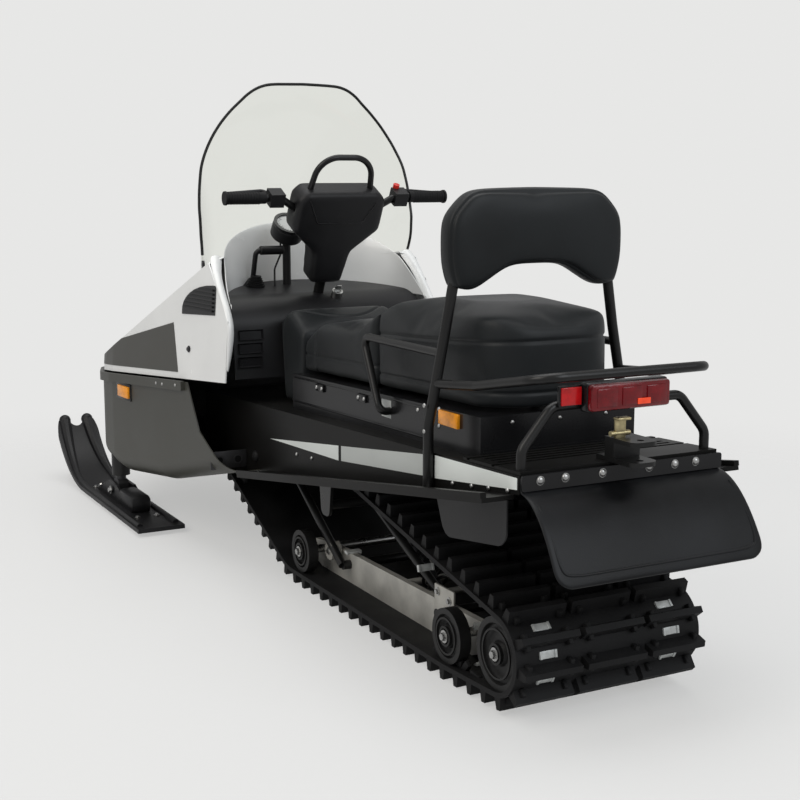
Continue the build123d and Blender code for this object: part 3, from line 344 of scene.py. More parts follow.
def add_box(bm, centre, size, edge=0.0, turn=Matrix()):
    """A block with rounded edges."""
    place = Matrix.Translation(centre) @ turn @ Matrix.Diagonal((*size, 1.0))
    made = bmesh.ops.create_cube(bm, size=1.0, matrix=place)
    if edge:
        round_edges(bm, made["verts"], edge)


def add_rod(bm, centre, axis, radius, depth, top=None, segments=20):
    bmesh.ops.create_cone(
        bm,
        cap_ends=True,
        segments=segments,
        radius1=radius,
        radius2=radius if top is None else top,
        depth=depth,
        matrix=Matrix.Translation(centre) @ turned(axis),
    )


def add_bolt(bm, centre, axis, radius):
    """A hex head on a washer."""
    out = Vector(axis).normalized()
    add_rod(bm, Vector(centre) + out * radius * 0.15, out, radius * 1.5, radius * 0.3)
    head = Vector(centre) + out * radius * 0.65
    add_rod(bm, head, out, radius, radius * 0.7, top=radius * 0.86, segments=6)


def add_dome(bm, centre, axis, radius):
    """A round bolt head."""
    place = Matrix.Translation(centre) @ turned(axis) @ Matrix.Diagonal((1.0, 1.0, 0.62, 1.0))
    bmesh.ops.create_uvsphere(bm, u_segments=16, v_segments=8, radius=radius, matrix=place)


def add_ring(bm, centre, axis, radius, width, height, steps=40):
    """A ring of rectangular section, spun about its axis."""
    start = bmesh.ops.create_grid(bm, x_segments=1, y_segments=1, size=0.5)["verts"]
    bmesh.ops.transform(
        bm,
        matrix=Matrix.Translation((radius, 0, 0)) @ Matrix.Rotation(math.pi / 2, 4, "X")
        @ Matrix.Diagonal((width, height, 1.0, 1.0)),
        verts=start,
    )
    faces = list({face for vert in start for face in vert.link_faces})
    loop = list({edge for face in faces for edge in face.edges})
    bmesh.ops.delete(bm, geom=faces, context="FACES_ONLY")
    before = set(bm.verts) - set(start)
    full = 2 * math.pi
    bmesh.ops.spin(bm, geom=start + loop, cent=(0, 0, 0), axis=UP, angle=full, steps=steps, use_merge=True)
    ring = [vert for vert in bm.verts if vert not in before]
    bmesh.ops.transform(bm, matrix=Matrix.Translation(centre) @ turned(axis), verts=ring)


def add_plate(bm, outline, thickness):
    """A flat plate: an outline of a few points, pushed out along a thickness vector."""
    face = bm.faces.new([bm.verts.new(point) for point in outline])
    pushed = bmesh.ops.extrude_face_region(bm, geom=[face])
    grown = [item for item in pushed["geom"] if isinstance(item, bmesh.types.BMVert)]
    bmesh.ops.translate(bm, vec=thickness, verts=grown)


def add_tray(bm, centre, size, axis, rim, depth):
    """A shallow tray: a block whose front face is inset and pressed in."""
    place = Matrix.Translation(centre) @ turned(axis) @ Matrix.Diagonal((*size, 1.0))
    made = bmesh.ops.create_cube(bm, size=1.0, matrix=place)["verts"]
    bm.normal_update()
    faces = {face for vert in made for face in vert.link_faces}
    front = max(faces, key=lambda face: face.normal.dot(Vector(axis)))
    bmesh.ops.inset_region(bm, faces=[front], thickness=rim)
    bmesh.ops.translate(bm, vec=-Vector(axis).normalized() * depth, verts=front.verts[:])


def add_tube(bm, points, radius, smooth=True, shares=None):
    """A round tube along points, by a curve, with a share of the radius at each point if asked."""
    curve = bpy.data.curves.new("tube", "CURVE")
    curve.dimensions = "3D"
    curve.bevel_depth = radius
    curve.bevel_resolution = 3
    curve.use_fill_caps = True
    spline = curve.splines.new("NURBS" if smooth else "POLY")
    spline.points.add(len(points) - 1)
    for spot, point, share in zip(spline.points, points, shares or [1.0] * len(points)):
        spot.co = (*point, 1.0)
        spot.radius = share
    if smooth:
        spline.order_u = 3
        spline.use_endpoint_u = True
    holder = bpy.data.objects.new("tube", curve)
    bpy.context.scene.collection.objects.link(holder)
    bpy.context.view_layer.update()
    mesh = bpy.data.meshes.new_from_object(holder.evaluated_get(bpy.context.evaluated_depsgraph_get()))
    bm.from_mesh(mesh)
    bpy.data.objects.remove(holder)
    bpy.data.curves.remove(curve)
    bpy.data.meshes.remove(mesh)


def skin_patch(bm, node, facing, planes, lift, thickness):
    """A sheet cut from a CAD node's skin by planes, lifted off it and given a thickness."""
    patch = bmesh.new()
    patch.from_mesh(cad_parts[node].data)
    bmesh.ops.remove_doubles(patch, verts=patch.verts[:], dist=1e-6)
    patch.normal_update()
    away = [face for face in patch.faces if face.normal.dot(Vector(facing)) < 0.25]
    bmesh.ops.delete(patch, geom=away, context="FACES")
    for point, normal in planes:
        everything = patch.verts[:] + patch.edges[:] + patch.faces[:]
        bmesh.ops.bisect_plane(patch, geom=everything, plane_co=point, plane_no=normal, clear_outer=True)
    patch.normal_update()
    for vert in patch.verts:
        vert.co += vert.normal * lift
    pushed = bmesh.ops.extrude_face_region(patch, geom=patch.faces[:])
    for item in pushed["geom"]:
        if isinstance(item, bmesh.types.BMVert):
            item.co += item.normal * thickness
    bmesh.ops.recalc_face_normals(patch, faces=patch.faces[:])
    mesh = bpy.data.meshes.new("patch")
    patch.to_mesh(mesh)
    patch.free()
    bm.from_mesh(mesh)
    bpy.data.meshes.remove(mesh)


def mesh_tree(mesh):
    return BVHTree.FromPolygons([v.co for v in mesh.vertices], [p.vertices[:] for p in mesh.polygons])


def tree_of(node):
    return mesh_tree(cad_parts[node].data)


def on_skin(node, point):
    """Nearest place on a CAD node, and the way its skin faces there."""
    place, normal, _, _ = tree_of(node).find_nearest(Vector(point))
    return place, normal


def mirrored(point, side):
    return Vector((point[0] * side, point[1], point[2]))


def new_meshes(count):
    return [bmesh.new() for _ in range(count)]


def new_object(name, bm):
    """An object of a mesh in the making, linked to the scene."""
    mesh = bpy.data.meshes.new(name)
    bm.to_mesh(mesh)
    bm.free()
    made = bpy.data.objects.new(name, mesh)
    bpy.context.scene.collection.objects.link(made)
    return made


def dress(made, body, material):
    """Gives an object its material and lets it ride on its body."""
    made.data.materials.clear()
    made.data.materials.append(finish(material))
    made.data.shade_smooth()
    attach(made, body)


def piece(name, bm, body, material, angle=35):
    """Makes a finished object of a mesh, with edges sharper than an angle kept sharp."""
    bmesh.ops.recalc_face_normals(bm, faces=bm.faces[:])
    made = new_object(name, bm)
    dress(made, body, material)
    made.data.set_sharp_from_angle(angle=math.radians(angle))
    return made


def thicken(made, thickness):
    wall = made.modifiers.new("wall", "SOLIDIFY")
    wall.thickness = thickness
    wall.offset = 0.0


def subdivide(made, levels):
    finer = made.modifiers.new("finer", "SUBSURF")
    finer.levels = levels
    finer.render_levels = levels


def apply_modifiers(made):
    bpy.context.view_layer.update()
    final = bpy.data.meshes.new_from_object(made.evaluated_get(bpy.context.evaluated_depsgraph_get()))
    made.modifiers.clear()
    made.data = final


# Finishes on the CAD nodes

FINISHES = {
    "body_paint": ("hood_shell",),
    "pan_plastic": ("belly_pan", "front_bumper"),
    "moulded_black": (
        "console", "gauge_pod", "gauge_cable", "steering_shroud", "control_levers", "shift_lever",
        "ski_left", "ski_right", "side_skirts", "hinge_base", "hinge_ears",
    ),
    "vinyl": ("tank_cover", "driver_seat", "passenger_seat", "backrest_cushion"),
    "gloss_plastic": ("seat_base", "storage_box", "flap_strip"),
    "sheet_black": ("tunnel", "running_boards", "rear_deck"),
    "painted_tube": (
        "backrest_frame", "grab_handles", "luggage_rail", "lamp_hoop", "handlebar", "bar_hoop",
        "tow_hitch", "strut_tubes", "front_swing_arm", "rear_swing_arm", "arm_hangers",
        "steering_column", "front_frame",
    ),
    "rubber": ("track", "grips"),
    "wheel_plastic": ("rear_idlers", "middle_idlers", "front_idlers", "drive_sprockets"),
    "satin_alloy": ("slide_rails",),
    "cast_grey": ("engine_block", "shock_absorbers", "spindle_left", "spindle_right"),
    "plated_steel": ("wheel_axles", "drive_axle"),
    "clear_sheet": ("windshield",),
    "ribbed_glass": ("headlamp",),
    "lens_red": ("tail_lamp",),
}


def paint_nodes():
    for material, nodes in FINISHES.items():
        for node in nodes:
            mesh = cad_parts[node].data
            mesh.materials.clear()
            mesh.materials.append(finish(material))


# Upholstery


def remeshed(name, node, voxel, filled):
    """A copy of a soft solid as an even mesh, with its hollow filled if asked."""
    bm = bmesh.new()
    bm.from_mesh(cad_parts[node].data)
    bmesh.ops.remove_doubles(bm, verts=bm.verts[:], dist=1e-6)
    if filled:
        hull = bmesh.ops.convex_hull(bm, input=bm.verts[:])
        inside = [item for item in hull["geom_interior"] if isinstance(item, bmesh.types.BMVert)]
        bmesh.ops.delete(bm, geom=inside, context="VERTS")
        outer = {item for item in hull["geom"] if isinstance(item, bmesh.types.BMFace)}
        extra = [face for face in bm.faces if face not in outer]
        bmesh.ops.delete(bm, geom=extra, context="FACES_ONLY")
    made = new_object(name, bm)
    even = made.modifiers.new("even", "REMESH")
    even.mode = "VOXEL"
    even.voxel_size = voxel
    apply_modifiers(made)
    return made


def soften(made, rounds, shrink):
    """Rounds the edges of a pad and starts it a little inside its solid."""
    bm = bmesh.new()
    bm.from_mesh(made.data)
    for _ in range(rounds):
        bmesh.ops.smooth_vert(
            bm, verts=bm.verts[:], factor=0.5, use_axis_x=True, use_axis_y=True, use_axis_z=True
        )
    bm.normal_update()
    for vert in bm.verts:
        vert.co -= vert.normal * shrink
    bm.to_mesh(made.data)
    bm.free()


def swell(made, held, opts):
    """Swells a pad as cloth under pressure, pinned where it is held, and caps the movement."""
    start = [vert.co.copy() for vert in made.data.vertices]
    pins = made.vertex_groups.new(name="held")
    pins.add([i for i, co in enumerate(start) if held(co)], 1.0, "REPLACE")
    cloth = made.modifiers.new("cloth", "CLOTH")
    cloth.settings.use_pressure = True
    cloth.settings.uniform_pressure_force = opts.pressure
    cloth.settings.vertex_group_mass = "held"
    cloth.settings.tension_stiffness = opts.stiffness
    cloth.settings.compression_stiffness = opts.stiffness
    cloth.settings.shear_stiffness = opts.stiffness
    cloth.settings.bending_stiffness = opts.stiffness / 4
    cloth.settings.effector_weights.gravity = 0.0
    scene = bpy.context.scene
    for step in range(1, opts.frames + 1):
        scene.frame_set(step)
    apply_modifiers(made)
    scene.frame_set(1)
    made.vertex_groups.clear()
    for vert, first in zip(made.data.vertices, start):
        move = vert.co - first
        if move.length > opts.cap:
            vert.co = first + move * (opts.cap / move.length)
    soften(made, opts.ironing, 0.0)


def sew(made, seams, opts):
    """Sinks the sewn lines into a pad. A seam is a function that gives a point's distance from the line."""
    bm = bmesh.new()
    bm.from_mesh(made.data)
    bm.normal_update()
    for vert in bm.verts:
        sunk = sum(math.exp(-((seam(vert.co) / opts.seam_width) ** 2)) for seam in seams)
        vert.co -= vert.normal * min(1.0, sunk) * opts.seam_depth
    bm.to_mesh(made.data)
    bm.free()


def keep_in(made, low, high):
    """Keeps a pad between two corners, so that it stays clear of its neighbours."""
    for vert in made.data.vertices:
        vert.co = Vector(max(a, min(b, c)) for a, b, c in zip(low, high, vert.co))


def pad(name, node, rounds, held, seams, room, filled=False):
    """A cushion that stands for a soft node, with some room at the low and high corners of its box."""
    opts = settings("cushion")
    made = remeshed(name, node, opts.voxel, filled)
    soften(made, rounds, opts.shrink)
    swell(made, held, opts)
    low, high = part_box(node)
    keep_in(made, low - room[0], high + room[1])
    subdivide(made, 1)
    apply_modifiers(made)
    sew(made, seams, opts)
    dress(made, "chassis", "vinyl")
    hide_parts(node)


SEAT_FRONT = 0.104
SEAT_FOOT = 0.607
SEAT_SLOPE = 0.036
SEAT_HELD = 0.022
SIDE_SEAM = 0.060
FRONT_SEAM = 0.215
LOW_SEAM = 0.045
CROWN_Y = 0.9
CROWN_Z = 0.792
CROWN_SLOPE = 0.06
TANK_HELD = 0.560
TANK_SEAM = 0.062
TANK_BOW = 0.30
BACK_HELD = 0.935
BACK_SEAM = 1.082


def seat_floor(y):
    return SEAT_FOOT + SEAT_SLOPE * (y - SEAT_FRONT)


def over_floor(height):
    """A seam along the seat base, at a height over it."""
    return lambda co: co.z - seat_floor(co.y) - height


def on_floor(co):
    return co.z < seat_floor(co.y) + SEAT_HELD


def make_seats():
    near = Vector((0.004, 0.0, 0.0))
    pad(
        "driver_pad", "driver_seat", 22, on_floor,
        seams=(over_floor(SIDE_SEAM), lambda co: co.y - FRONT_SEAM),
        room=(near, near + UP * 0.004),
    )
    pad(
        "passenger_pad", "passenger_seat", 30, on_floor,
        seams=(lambda co: co.z - CROWN_Z - CROWN_SLOPE * (co.y - CROWN_Y), over_floor(LOW_SEAM)),
        room=(near, near + UP * 0.008),
    )


def make_tank_pad():
    pad(
        "tank_pad", "tank_cover", 40,
        held=lambda co: co.z < TANK_HELD,
        seams=(lambda co: co.x ** 2 / TANK_BOW + co.y - TANK_SEAM,),
        room=(Vector(), Vector()),
        filled=True,
    )


def make_backrest():
    spread = Vector((0.002, 0.006, 0.004))
    pad(
        "backrest_pad", "backrest_cushion", 55,
        held=lambda co: co.z < BACK_HELD,
        seams=(lambda co: co.y - BACK_SEAM,),
        room=(spread, spread),
    )


# Seat base: latches, mouldings, bolts

HEAD_R = 0.006
BASE_X = 0.210
BASE_LINES = ((0.135, 0.600, 0.945, 0.629), (0.135, 0.530, 0.945, 0.556))
BASE_LINE_R = 0.003
LATCH_Y = (0.316, 0.580)
LATCH_DROP = 0.022
LATCH_SIZE = (0.006, 0.048, 0.020)
LATCH_BOLT = 0.017
BASE_BOLTS = (
    (BASE_X, 0.880, 0.617),
    (0.214, 0.992, 0.636),
    (0.214, 0.992, 0.596),
    (0.2885, 1.054, 0.600),
    (0.2885, 1.054, 0.660),
)
BOX_BOLTS = ((-0.13, 1.180, 0.628), (0.0, 1.180, 0.628), (0.13, 1.180, 0.628))
BOX_HEAD_R = 0.005
LABEL = (BASE_X + 0.0005, 0.715, 0.597)
LABEL_SIZE = (0.001, 0.052, 0.048)


def make_seat_fittings():
    opts = settings("hardware")
    lines, bolts, label = new_meshes(3)
    for side in SIDES:
        way = (side, 0, 0)
        for y0, z0, y1, z1 in BASE_LINES:
            ends = [(BASE_X * side, y0, z0), (BASE_X * side, y1, z1)]
            add_tube(lines, ends, BASE_LINE_R, smooth=False)
        for y in LATCH_Y:
            z = seat_floor(y) - LATCH_DROP
            add_box(lines, (side * (BASE_X + LATCH_SIZE[0] / 2), y, z), LATCH_SIZE, opts.edge)
            for step in SIDES:
                add_dome(bolts, (side * (BASE_X + LATCH_SIZE[0]), y + step * LATCH_BOLT, z), way, HEAD_R)
        for spot in BASE_BOLTS:
            add_dome(bolts, mirrored(spot, side), way, HEAD_R)
    for spot in BOX_BOLTS:
        add_dome(bolts, spot, REAR, BOX_HEAD_R)
    add_box(label, LABEL, LABEL_SIZE)
    piece("seat_mouldings", lines, "chassis", "gloss_plastic")
    piece("seat_bolts", bolts, "chassis", "plated_steel")
    piece("blank_label", label, "chassis", "label_film")


# Track: clips, lug gussets and guide horns along the belt

# Wheels inside the belt from the rear: y, z, radius
BELT_WHEELS = (
    (1.300, 0.137, 0.084),
    (1.077, 0.109, 0.067),
    (0.190, 0.242, 0.200),
    (-0.330, 0.334, 0.082),
)
BELT = 0.012
TRAIL_STEP = 0.001
LUG_STEP = 0.002
LUG_HEIGHT = 0.030
LUG_COLUMN = 0.17
CLIP_X = (-0.168, 0.168)
CLIP_LENGTH = 0.018
CLIP_HEIGHT = 0.007
CLIP_TAB = (0.006, CLIP_LENGTH, 0.005)
GUSSET_X = (-0.225, -0.115, -0.06, 0.06, 0.115, 0.225)
GUSSET_SIZE = (0.012, 0.040, 0.018)
HORN_X = (-0.045, 0.045)
HORN_SIZE = (0.022, 0.026, 0.018)


def tangent(first, second):
    """The outer tangent of two wheels in loop order: its outward way and its two ends."""
    run = Vector((second[0] - first[0], second[1] - first[1]))
    lean = math.asin((first[2] - second[2]) / run.length)
    angle = math.atan2(run.y, run.x) + math.pi / 2 - lean
    out = Vector((math.cos(angle), math.sin(angle)))
    return out, Vector(first[:2]) + out * first[2], Vector(second[:2]) + out * second[2]


def belt_walk(step):
    """Points and outward directions along the belt's outer face, evenly spaced from the front wheel."""
    wheels = [(y, z, r + BELT) for y, z, r in reversed(BELT_WHEELS)]
    runs = [tangent(a, b) for a, b in zip(wheels, wheels[1:] + wheels[:1])]
    trail = []
    for index, (out, leave, meet) in enumerate(runs):
        count = max(2, round((meet - leave).length / TRAIL_STEP))
        trail += [(leave.lerp(meet, i / count), out) for i in range(count)]
        wheel = wheels[(index + 1) % len(wheels)]
        following = runs[(index + 1) % len(runs)][0]
        swing = (math.atan2(following.y, following.x) - math.atan2(out.y, out.x)) % (-2 * math.pi)
        count = max(2, round(abs(swing) * wheel[2] / TRAIL_STEP))
        for i in range(count):
            turn = Matrix.Rotation(swing * i / count, 2) @ out
            trail.append((Vector(wheel[:2]) + turn * wheel[2], turn))
    length = sum((b[0] - a[0]).length for a, b in zip(trail, trail[1:] + trail[:1]))
    count = round(length / step)
    return [trail[round(i * len(trail) / count) % len(trail)] for i in range(count)]


def belt_place(x, spot, out, lift):
    """A frame on the belt: local X across, local Z outwards."""
    across = Vector((1, 0, 0))
    normal = Vector((0, out.x, out.y))
    along = normal.cross(across)
    turn = Matrix((across, along, normal)).transposed().to_4x4()
    return Matrix.Translation(Vector((x, spot.x, spot.y)) + normal * lift) @ turn


def add_belt_box(bm, place, size, edge):
    """A block on a frame of the belt."""
    add_box(bm, place.translation, size, edge, place.to_3x3().to_4x4())


def lug_places():
    """Places on the belt where the CAD track has lugs, found by rays from its side."""
    tree = tree_of("track")
    lugs = []
    walk = belt_walk(LUG_STEP)
    high = []
    for spot, out in walk:
        start = Vector((LUG_COLUMN, spot.x, spot.y)) + Vector((0, out.x, out.y)) * (LUG_HEIGHT - 0.004)
        hit = tree.ray_cast(start + Vector((0.2, 0, 0)), Vector((-1, 0, 0)), 0.25)
        high.append(hit[0] is not None)
    for index, inside in enumerate(high):
        if inside and not high[index - 1]:
            width = next(k for k in range(1, len(high)) if not high[(index + k) % len(high)])
            lugs.append(walk[(index + width // 2) % len(walk)])
    return lugs


def midway(first, second):
    return first[0].lerp(second[0], 0.5), (first[1] + second[1]).normalized()


def make_track_hardware():
    opts = settings("hardware")
    lugs = lug_places()
    clips, gussets = new_meshes(2)
    for index, lug in enumerate(lugs):
        between = midway(lugs[index - 1], lug)
        for x in CLIP_X:
            place = belt_place(x, *between, 0.003)
            add_belt_box(clips, place, (opts.clip_width, CLIP_LENGTH, CLIP_HEIGHT), 0.0016)
            for end in SIDES:
                tab = place @ Matrix.Translation((end * opts.clip_width * 0.42, 0, 0.003))
                add_belt_box(clips, tab, CLIP_TAB, 0.0008)
        for x in GUSSET_X:
            add_belt_box(gussets, belt_place(x, *lug, 0.009), GUSSET_SIZE, 0.003)
        for x in HORN_X:
            add_belt_box(gussets, belt_place(x, *lug, -BELT - 0.008), HORN_SIZE, 0.004)
    piece("track_clips", clips, "chassis", "clip_steel")
    piece("track_gussets", gussets, "chassis", "rubber")


# Hood: side films, vents, windshield trim, cowl and lamps

# Planes that cut a film from the hood's skin: a point and the outward way
FILM_BOTTOM = (Vector((0, -0.927, 0.520)), Vector((0, 0.077, -1.0)))
FILM_TOP = (Vector((0, -0.927, 0.602)), Vector((0, -0.22, 1.0)))
FILM_REAR = (Vector((0, -0.378, 0.640)), Vector((0, 1.0, 0.32)))
FILM_NOSE = (Vector((0, -1.060, 0.540)), Vector((0, -1.0, 0.55)))
VENT_CORNER = Vector((0, -0.105, 0.764))
VENT_REACH = (0.235, 0.088)
VENT_ARC = 8
VENT_BARS = 6
BAR_PITCH = 0.0125
BAR_WIDTH = 0.006
HOOD_BOLT = (0.387, -0.280, 0.645)


def side_only(side):
    return Vector((side * 0.2, 0, 0)), Vector((-side, 0, 0))


def vent_planes(side, share):
    """Planes round a quarter-oval vent, drawn in by a share."""
    reach_y, reach_z = VENT_REACH[0] * share, VENT_REACH[1] * share
    inward = 0.5 * (1 - share)
    corner = VENT_CORNER + Vector((0, -VENT_REACH[0], VENT_REACH[1])) * inward
    planes = [side_only(side), (corner, Vector((0, 1, 0))), (corner, Vector((0, 0.06, -1)))]
    for step in range(VENT_ARC + 1):
        angle = math.radians(90 * step / VENT_ARC)
        point = corner + Vector((0, -reach_y * math.cos(angle), reach_z * math.sin(angle)))
        normal = Vector((0, -math.cos(angle) / reach_y, math.sin(angle) / reach_z)).normalized()
        planes.append((point, normal))
    return planes


def make_hood_films():
    opts = settings("hardware")
    films, vents, bars, bolts = new_meshes(4)
    for side in SIDES:
        outward = (side, 0, 0)
        film = (side_only(side), FILM_BOTTOM, FILM_TOP, FILM_REAR, FILM_NOSE)
        skin_patch(films, "hood_shell", outward, film, opts.lift, 0.0005)
        skin_patch(vents, "hood_shell", outward, vent_planes(side, 1.0), opts.lift, 0.001)
        for bar in range(VENT_BARS):
            low = VENT_CORNER.z + 0.008 + bar * BAR_PITCH
            limits = [(UP * low, -UP), (UP * (low + BAR_WIDTH), UP)]
            skin_patch(bars, "hood_shell", outward, vent_planes(side, 0.88) + limits, 0.002, 0.004)
        add_bolt(bolts, *on_skin("hood_shell", mirrored(HOOD_BOLT, side)), opts.bolt)
    piece("hood_films", films, "hood", "panel_film")
    piece("hood_vents", vents, "hood", "gloss_plastic")
    piece("vent_bars", bars, "hood", "moulded_black")
    piece("hood_bolts", bolts, "hood", "cast_grey")


TRIM_CENTRE = Vector((0, 0, 1.13))
TRIM_LOW = 0.925
SHIELD_FIXINGS = ((0.352, -0.225, 0.905), (0.300, -0.420, 0.885), (0.120, -0.545, 0.885))


def rim_path(count=44):
    """The windshield's free edge from low left over the top to low right, from its edge faces."""
    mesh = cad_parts["windshield"].data
    bins = {}
    for face in mesh.polygons:
        if abs(face.normal.y) > 0.03 or face.center.z < TRIM_LOW:
            continue
        for index in face.vertices:
            co = mesh.vertices[index].co
            arm = co - TRIM_CENTRE
            angle = math.atan2(arm.z, arm.x)
            angle += 2 * math.pi if angle < -math.pi / 2 else 0
            bins.setdefault(round(angle / math.pi * count), []).append(co)
    return [sum(bins[key], Vector()) / len(bins[key]) for key in sorted(bins)]


def make_windshield_trim():
    opts = settings("hardware")
    trim, fixings = new_meshes(2)
    add_tube(trim, rim_path(), opts.trim)
    for side in SIDES:
        for spot in SHIELD_FIXINGS:
            place, normal = on_skin("windshield", mirrored(spot, side))
            add_dome(fixings, place, normal, opts.bolt * 1.2)
            add_rod(fixings, place, normal, opts.bolt * 1.9, 0.008)
    piece("windshield_trim", trim, "hood", "painted_tube")
    piece("windshield_fixings", fixings, "hood", "gloss_plastic")


COWL_CENTRE = Vector((0, -0.040, 0))
COWL_R = 0.330
COWL_FLARE = 0.022
COWL_HALF = math.radians(88)
COWL_FRONT = math.radians(67)
COWL_TOP = 1.030
COWL_DROP = 0.118
COWL_FOOT = 0.800
COWL_LAP = 0.006
COWL_T = 0.003
# Rows down the hood's rear edge: y, z, outer x, inner x
RIM_ROWS = (
    (-0.190, 0.939, 0.349, 0.298),
    (-0.150, 0.897, 0.355, 0.324),
    (-0.085, 0.826, 0.357, 0.330),
    (-0.018, 0.756, 0.357, 0.331),
    (-0.017, 0.690, 0.360, 0.336),
    (-0.017, 0.600, 0.366, 0.356),
)
RIM_SLOPE = 1.077


def add_rim(bm, side):
    """A rolled return along the hood's rear edge, from the shoulder down beside the console."""
    rows = []
    for y, z, outer, inner in RIM_ROWS:
        across = ((outer, 0.0), ((outer + inner) / 2, 0.005), (inner, -0.008))
        rows.append([bm.verts.new((side * x, y + out, z + out)) for x, out in across])
    for above, below in zip(rows, rows[1:]):
        for step in range(2):
            bm.faces.new((above[step], above[step + 1], below[step + 1], below[step]))


def make_cowl():
    """White cowl in front of the dash, highest in the middle, and the returns of the hood's rear edge."""
    cowl = bmesh.new()
    bmesh.ops.create_grid(cowl, x_segments=40, y_segments=8, size=0.5)
    for vert in cowl.verts:
        swing = vert.co.x * 2 * COWL_HALF
        share = vert.co.y + 0.5
        arm = Vector((math.sin(swing), -math.cos(swing), 0))
        inner = min(1.0, abs(swing) / COWL_FRONT)
        vert.co = COWL_CENTRE + arm * (COWL_R + COWL_FLARE * (1 - inner ** 4) * share ** 3)
        foot = COWL_CENTRE + arm * COWL_R
        top = COWL_TOP - COWL_DROP * inner ** 2
        if inner == 1.0:
            top = RIM_ROWS[0][1] - RIM_SLOPE * (foot.y - RIM_ROWS[0][0]) - COWL_LAP
        vert.co.z = COWL_FOOT + (top - COWL_FOOT) * share
    for side in SIDES:
        add_rim(cowl, side)
    made = piece("dash_cowl", cowl, "hood", "body_paint", angle=80)
    thicken(made, COWL_T)
    subdivide(made, 2)


LAMP_WAY = Vector((0, -0.36, 0.93))
LAMP_SPOT = (0.105, -1.127, 0.660)
LAMP_R = 0.044


def make_lamp_trim():
    """Dark panel of the headlamp, with two round lamps in it."""
    panel, rims, lenses = new_meshes(3)
    skin_patch(panel, "headlamp", LAMP_WAY, (), 0.0006, 0.0014)
    for side in SIDES:
        place, normal = on_skin("headlamp", mirrored(LAMP_SPOT, side))
        add_ring(rims, place + normal * 0.003, normal, LAMP_R, 0.008, 0.010)
        glass = place + normal * 0.004
        add_rod(lenses, glass, normal, LAMP_R - 0.003, 0.006, top=LAMP_R - 0.010, segments=40)
    piece("lamp_panel", panel, "hood", "gloss_plastic")
    piece("lamp_rims", rims, "hood", "moulded_black")
    piece("lamp_lenses", lenses, "hood", "ribbed_glass")


# Belly pan: markers, rivets, bracket in the footwell

PAN_MARKER = (0.446, -0.790, 0.446)
MARKER_FRAME = (0.008, 0.128, 0.058)
MARKER_LENS = (0.010, 0.092, 0.040)
RAIL_RIVETS = ((0.432, -0.483, 0.514), (0.427, -0.434, 0.517), (0.418, -0.332, 0.527))
BRACKET = (0.325, -0.118, 0.318)
BRACKET_SIZE = (0.118, 0.004, 0.056)
BRACKET_HOLE = 0.030
FOOT_STOP = (0.265, -0.042, 0.337)
FOOT_STOP_R = 0.018


def make_pan_fittings():
    opts = settings("hardware")
    frames, lenses, rivets, bracket, holes = new_meshes(5)
    for side in SIDES:
        place, normal = on_skin("belly_pan", mirrored(PAN_MARKER, side))
        turn = Vector((side, 0, 0)).rotation_difference(normal).to_matrix().to_4x4()
        add_box(frames, place, MARKER_FRAME, opts.edge, turn)
        add_box(lenses, place + normal * 0.005 + REAR * 0.010, MARKER_LENS, 0.002, turn)
        for spot in RAIL_RIVETS:
            add_dome(rivets, *on_skin("front_bumper", mirrored(spot, side)), 0.005)
        add_box(bracket, mirrored(BRACKET, side), BRACKET_SIZE, opts.edge)
        for step in SIDES:
            spot = mirrored(BRACKET, side) + Vector((step * BRACKET_HOLE, 0.0022, 0))
            add_ring(bracket, spot, REAR, 0.0125, 0.004, 0.003)
            # A thin dark disc fills each ring: painted shade standing for an open hole
            add_rod(holes, spot, REAR, 0.0105, 0.001)
        add_dome(holes, mirrored(FOOT_STOP, side), (side, 0, 0), FOOT_STOP_R)
    piece("marker_frames", frames, "chassis", "gloss_plastic")
    piece("marker_lenses", lenses, "chassis", "amber_lens")
    piece("rail_rivets", rivets, "chassis", "plated_steel")
    piece("foot_brackets", bracket, "chassis", "cast_grey")
    # The dark discs are painted shade of the holes; the domes are rubber foot stops
    piece("bracket_holes", holes, "chassis", "rubber")


# Tunnel: stripes and bolts

TUNNEL_SIDE = 0.265
STRIPES = {
    "stripe_front": ((0.075, 0.412), (0.545, 0.434), (0.545, 0.474)),
    "stripe_middle": ((0.562, 0.436), (1.045, 0.489), (1.045, 0.541), (0.562, 0.476)),
    "stripe_rear": ((1.064, 0.490), (1.412, 0.534), (1.412, 0.559), (1.064, 0.544)),
}
TUNNEL_BOLTS = (
    (0.269, 0.400), (0.372, 0.408), (1.146, 0.494), (1.229, 0.505), (1.300, 0.515), (1.376, 0.525),
)


def make_stripes():
    opts = settings("hardware")
    for name, outline in STRIPES.items():
        film = bmesh.new()
        for side in SIDES:
            x = side * (TUNNEL_SIDE + 0.0003)
            add_plate(film, [(x, y, z) for y, z in outline], (side * opts.lift, 0, 0))
        # Each stripe gets its own film, a lighter or darker copy of the pale stripe: painted light and
        # shade
        piece(name, film, "chassis", name + "_film")
    bolts = bmesh.new()
    for side in SIDES:
        for y, z in TUNNEL_BOLTS:
            add_dome(bolts, (side * (TUNNEL_SIDE + 0.001), y, z), (side, 0, 0), HEAD_R)
    piece("tunnel_bolts", bolts, "chassis", "plated_steel")


# Rear: markers, lamp, flap and hitch

BOX_MARKER = (0.218, 1.045, 0.621)
SIDE_LENS = (0.009, 0.088, 0.034)
LENS_CELLS = (-0.32, 0.0, 0.32)
# The reflector beside the lamp and its backing: sizes, then places from the lamp's left rear edge
REFLECTOR_SIZE = (0.050, 0.006, 0.038)
REFLECTOR_SPOT = Vector((0.034, -0.024, 0.004))
BACKING_SIZE = (0.062, 0.008, 0.046)
BACKING_SPOT = Vector((0.032, -0.030, 0.004))
WINDOW_SIZE = (0.034, 0.002, 0.013)


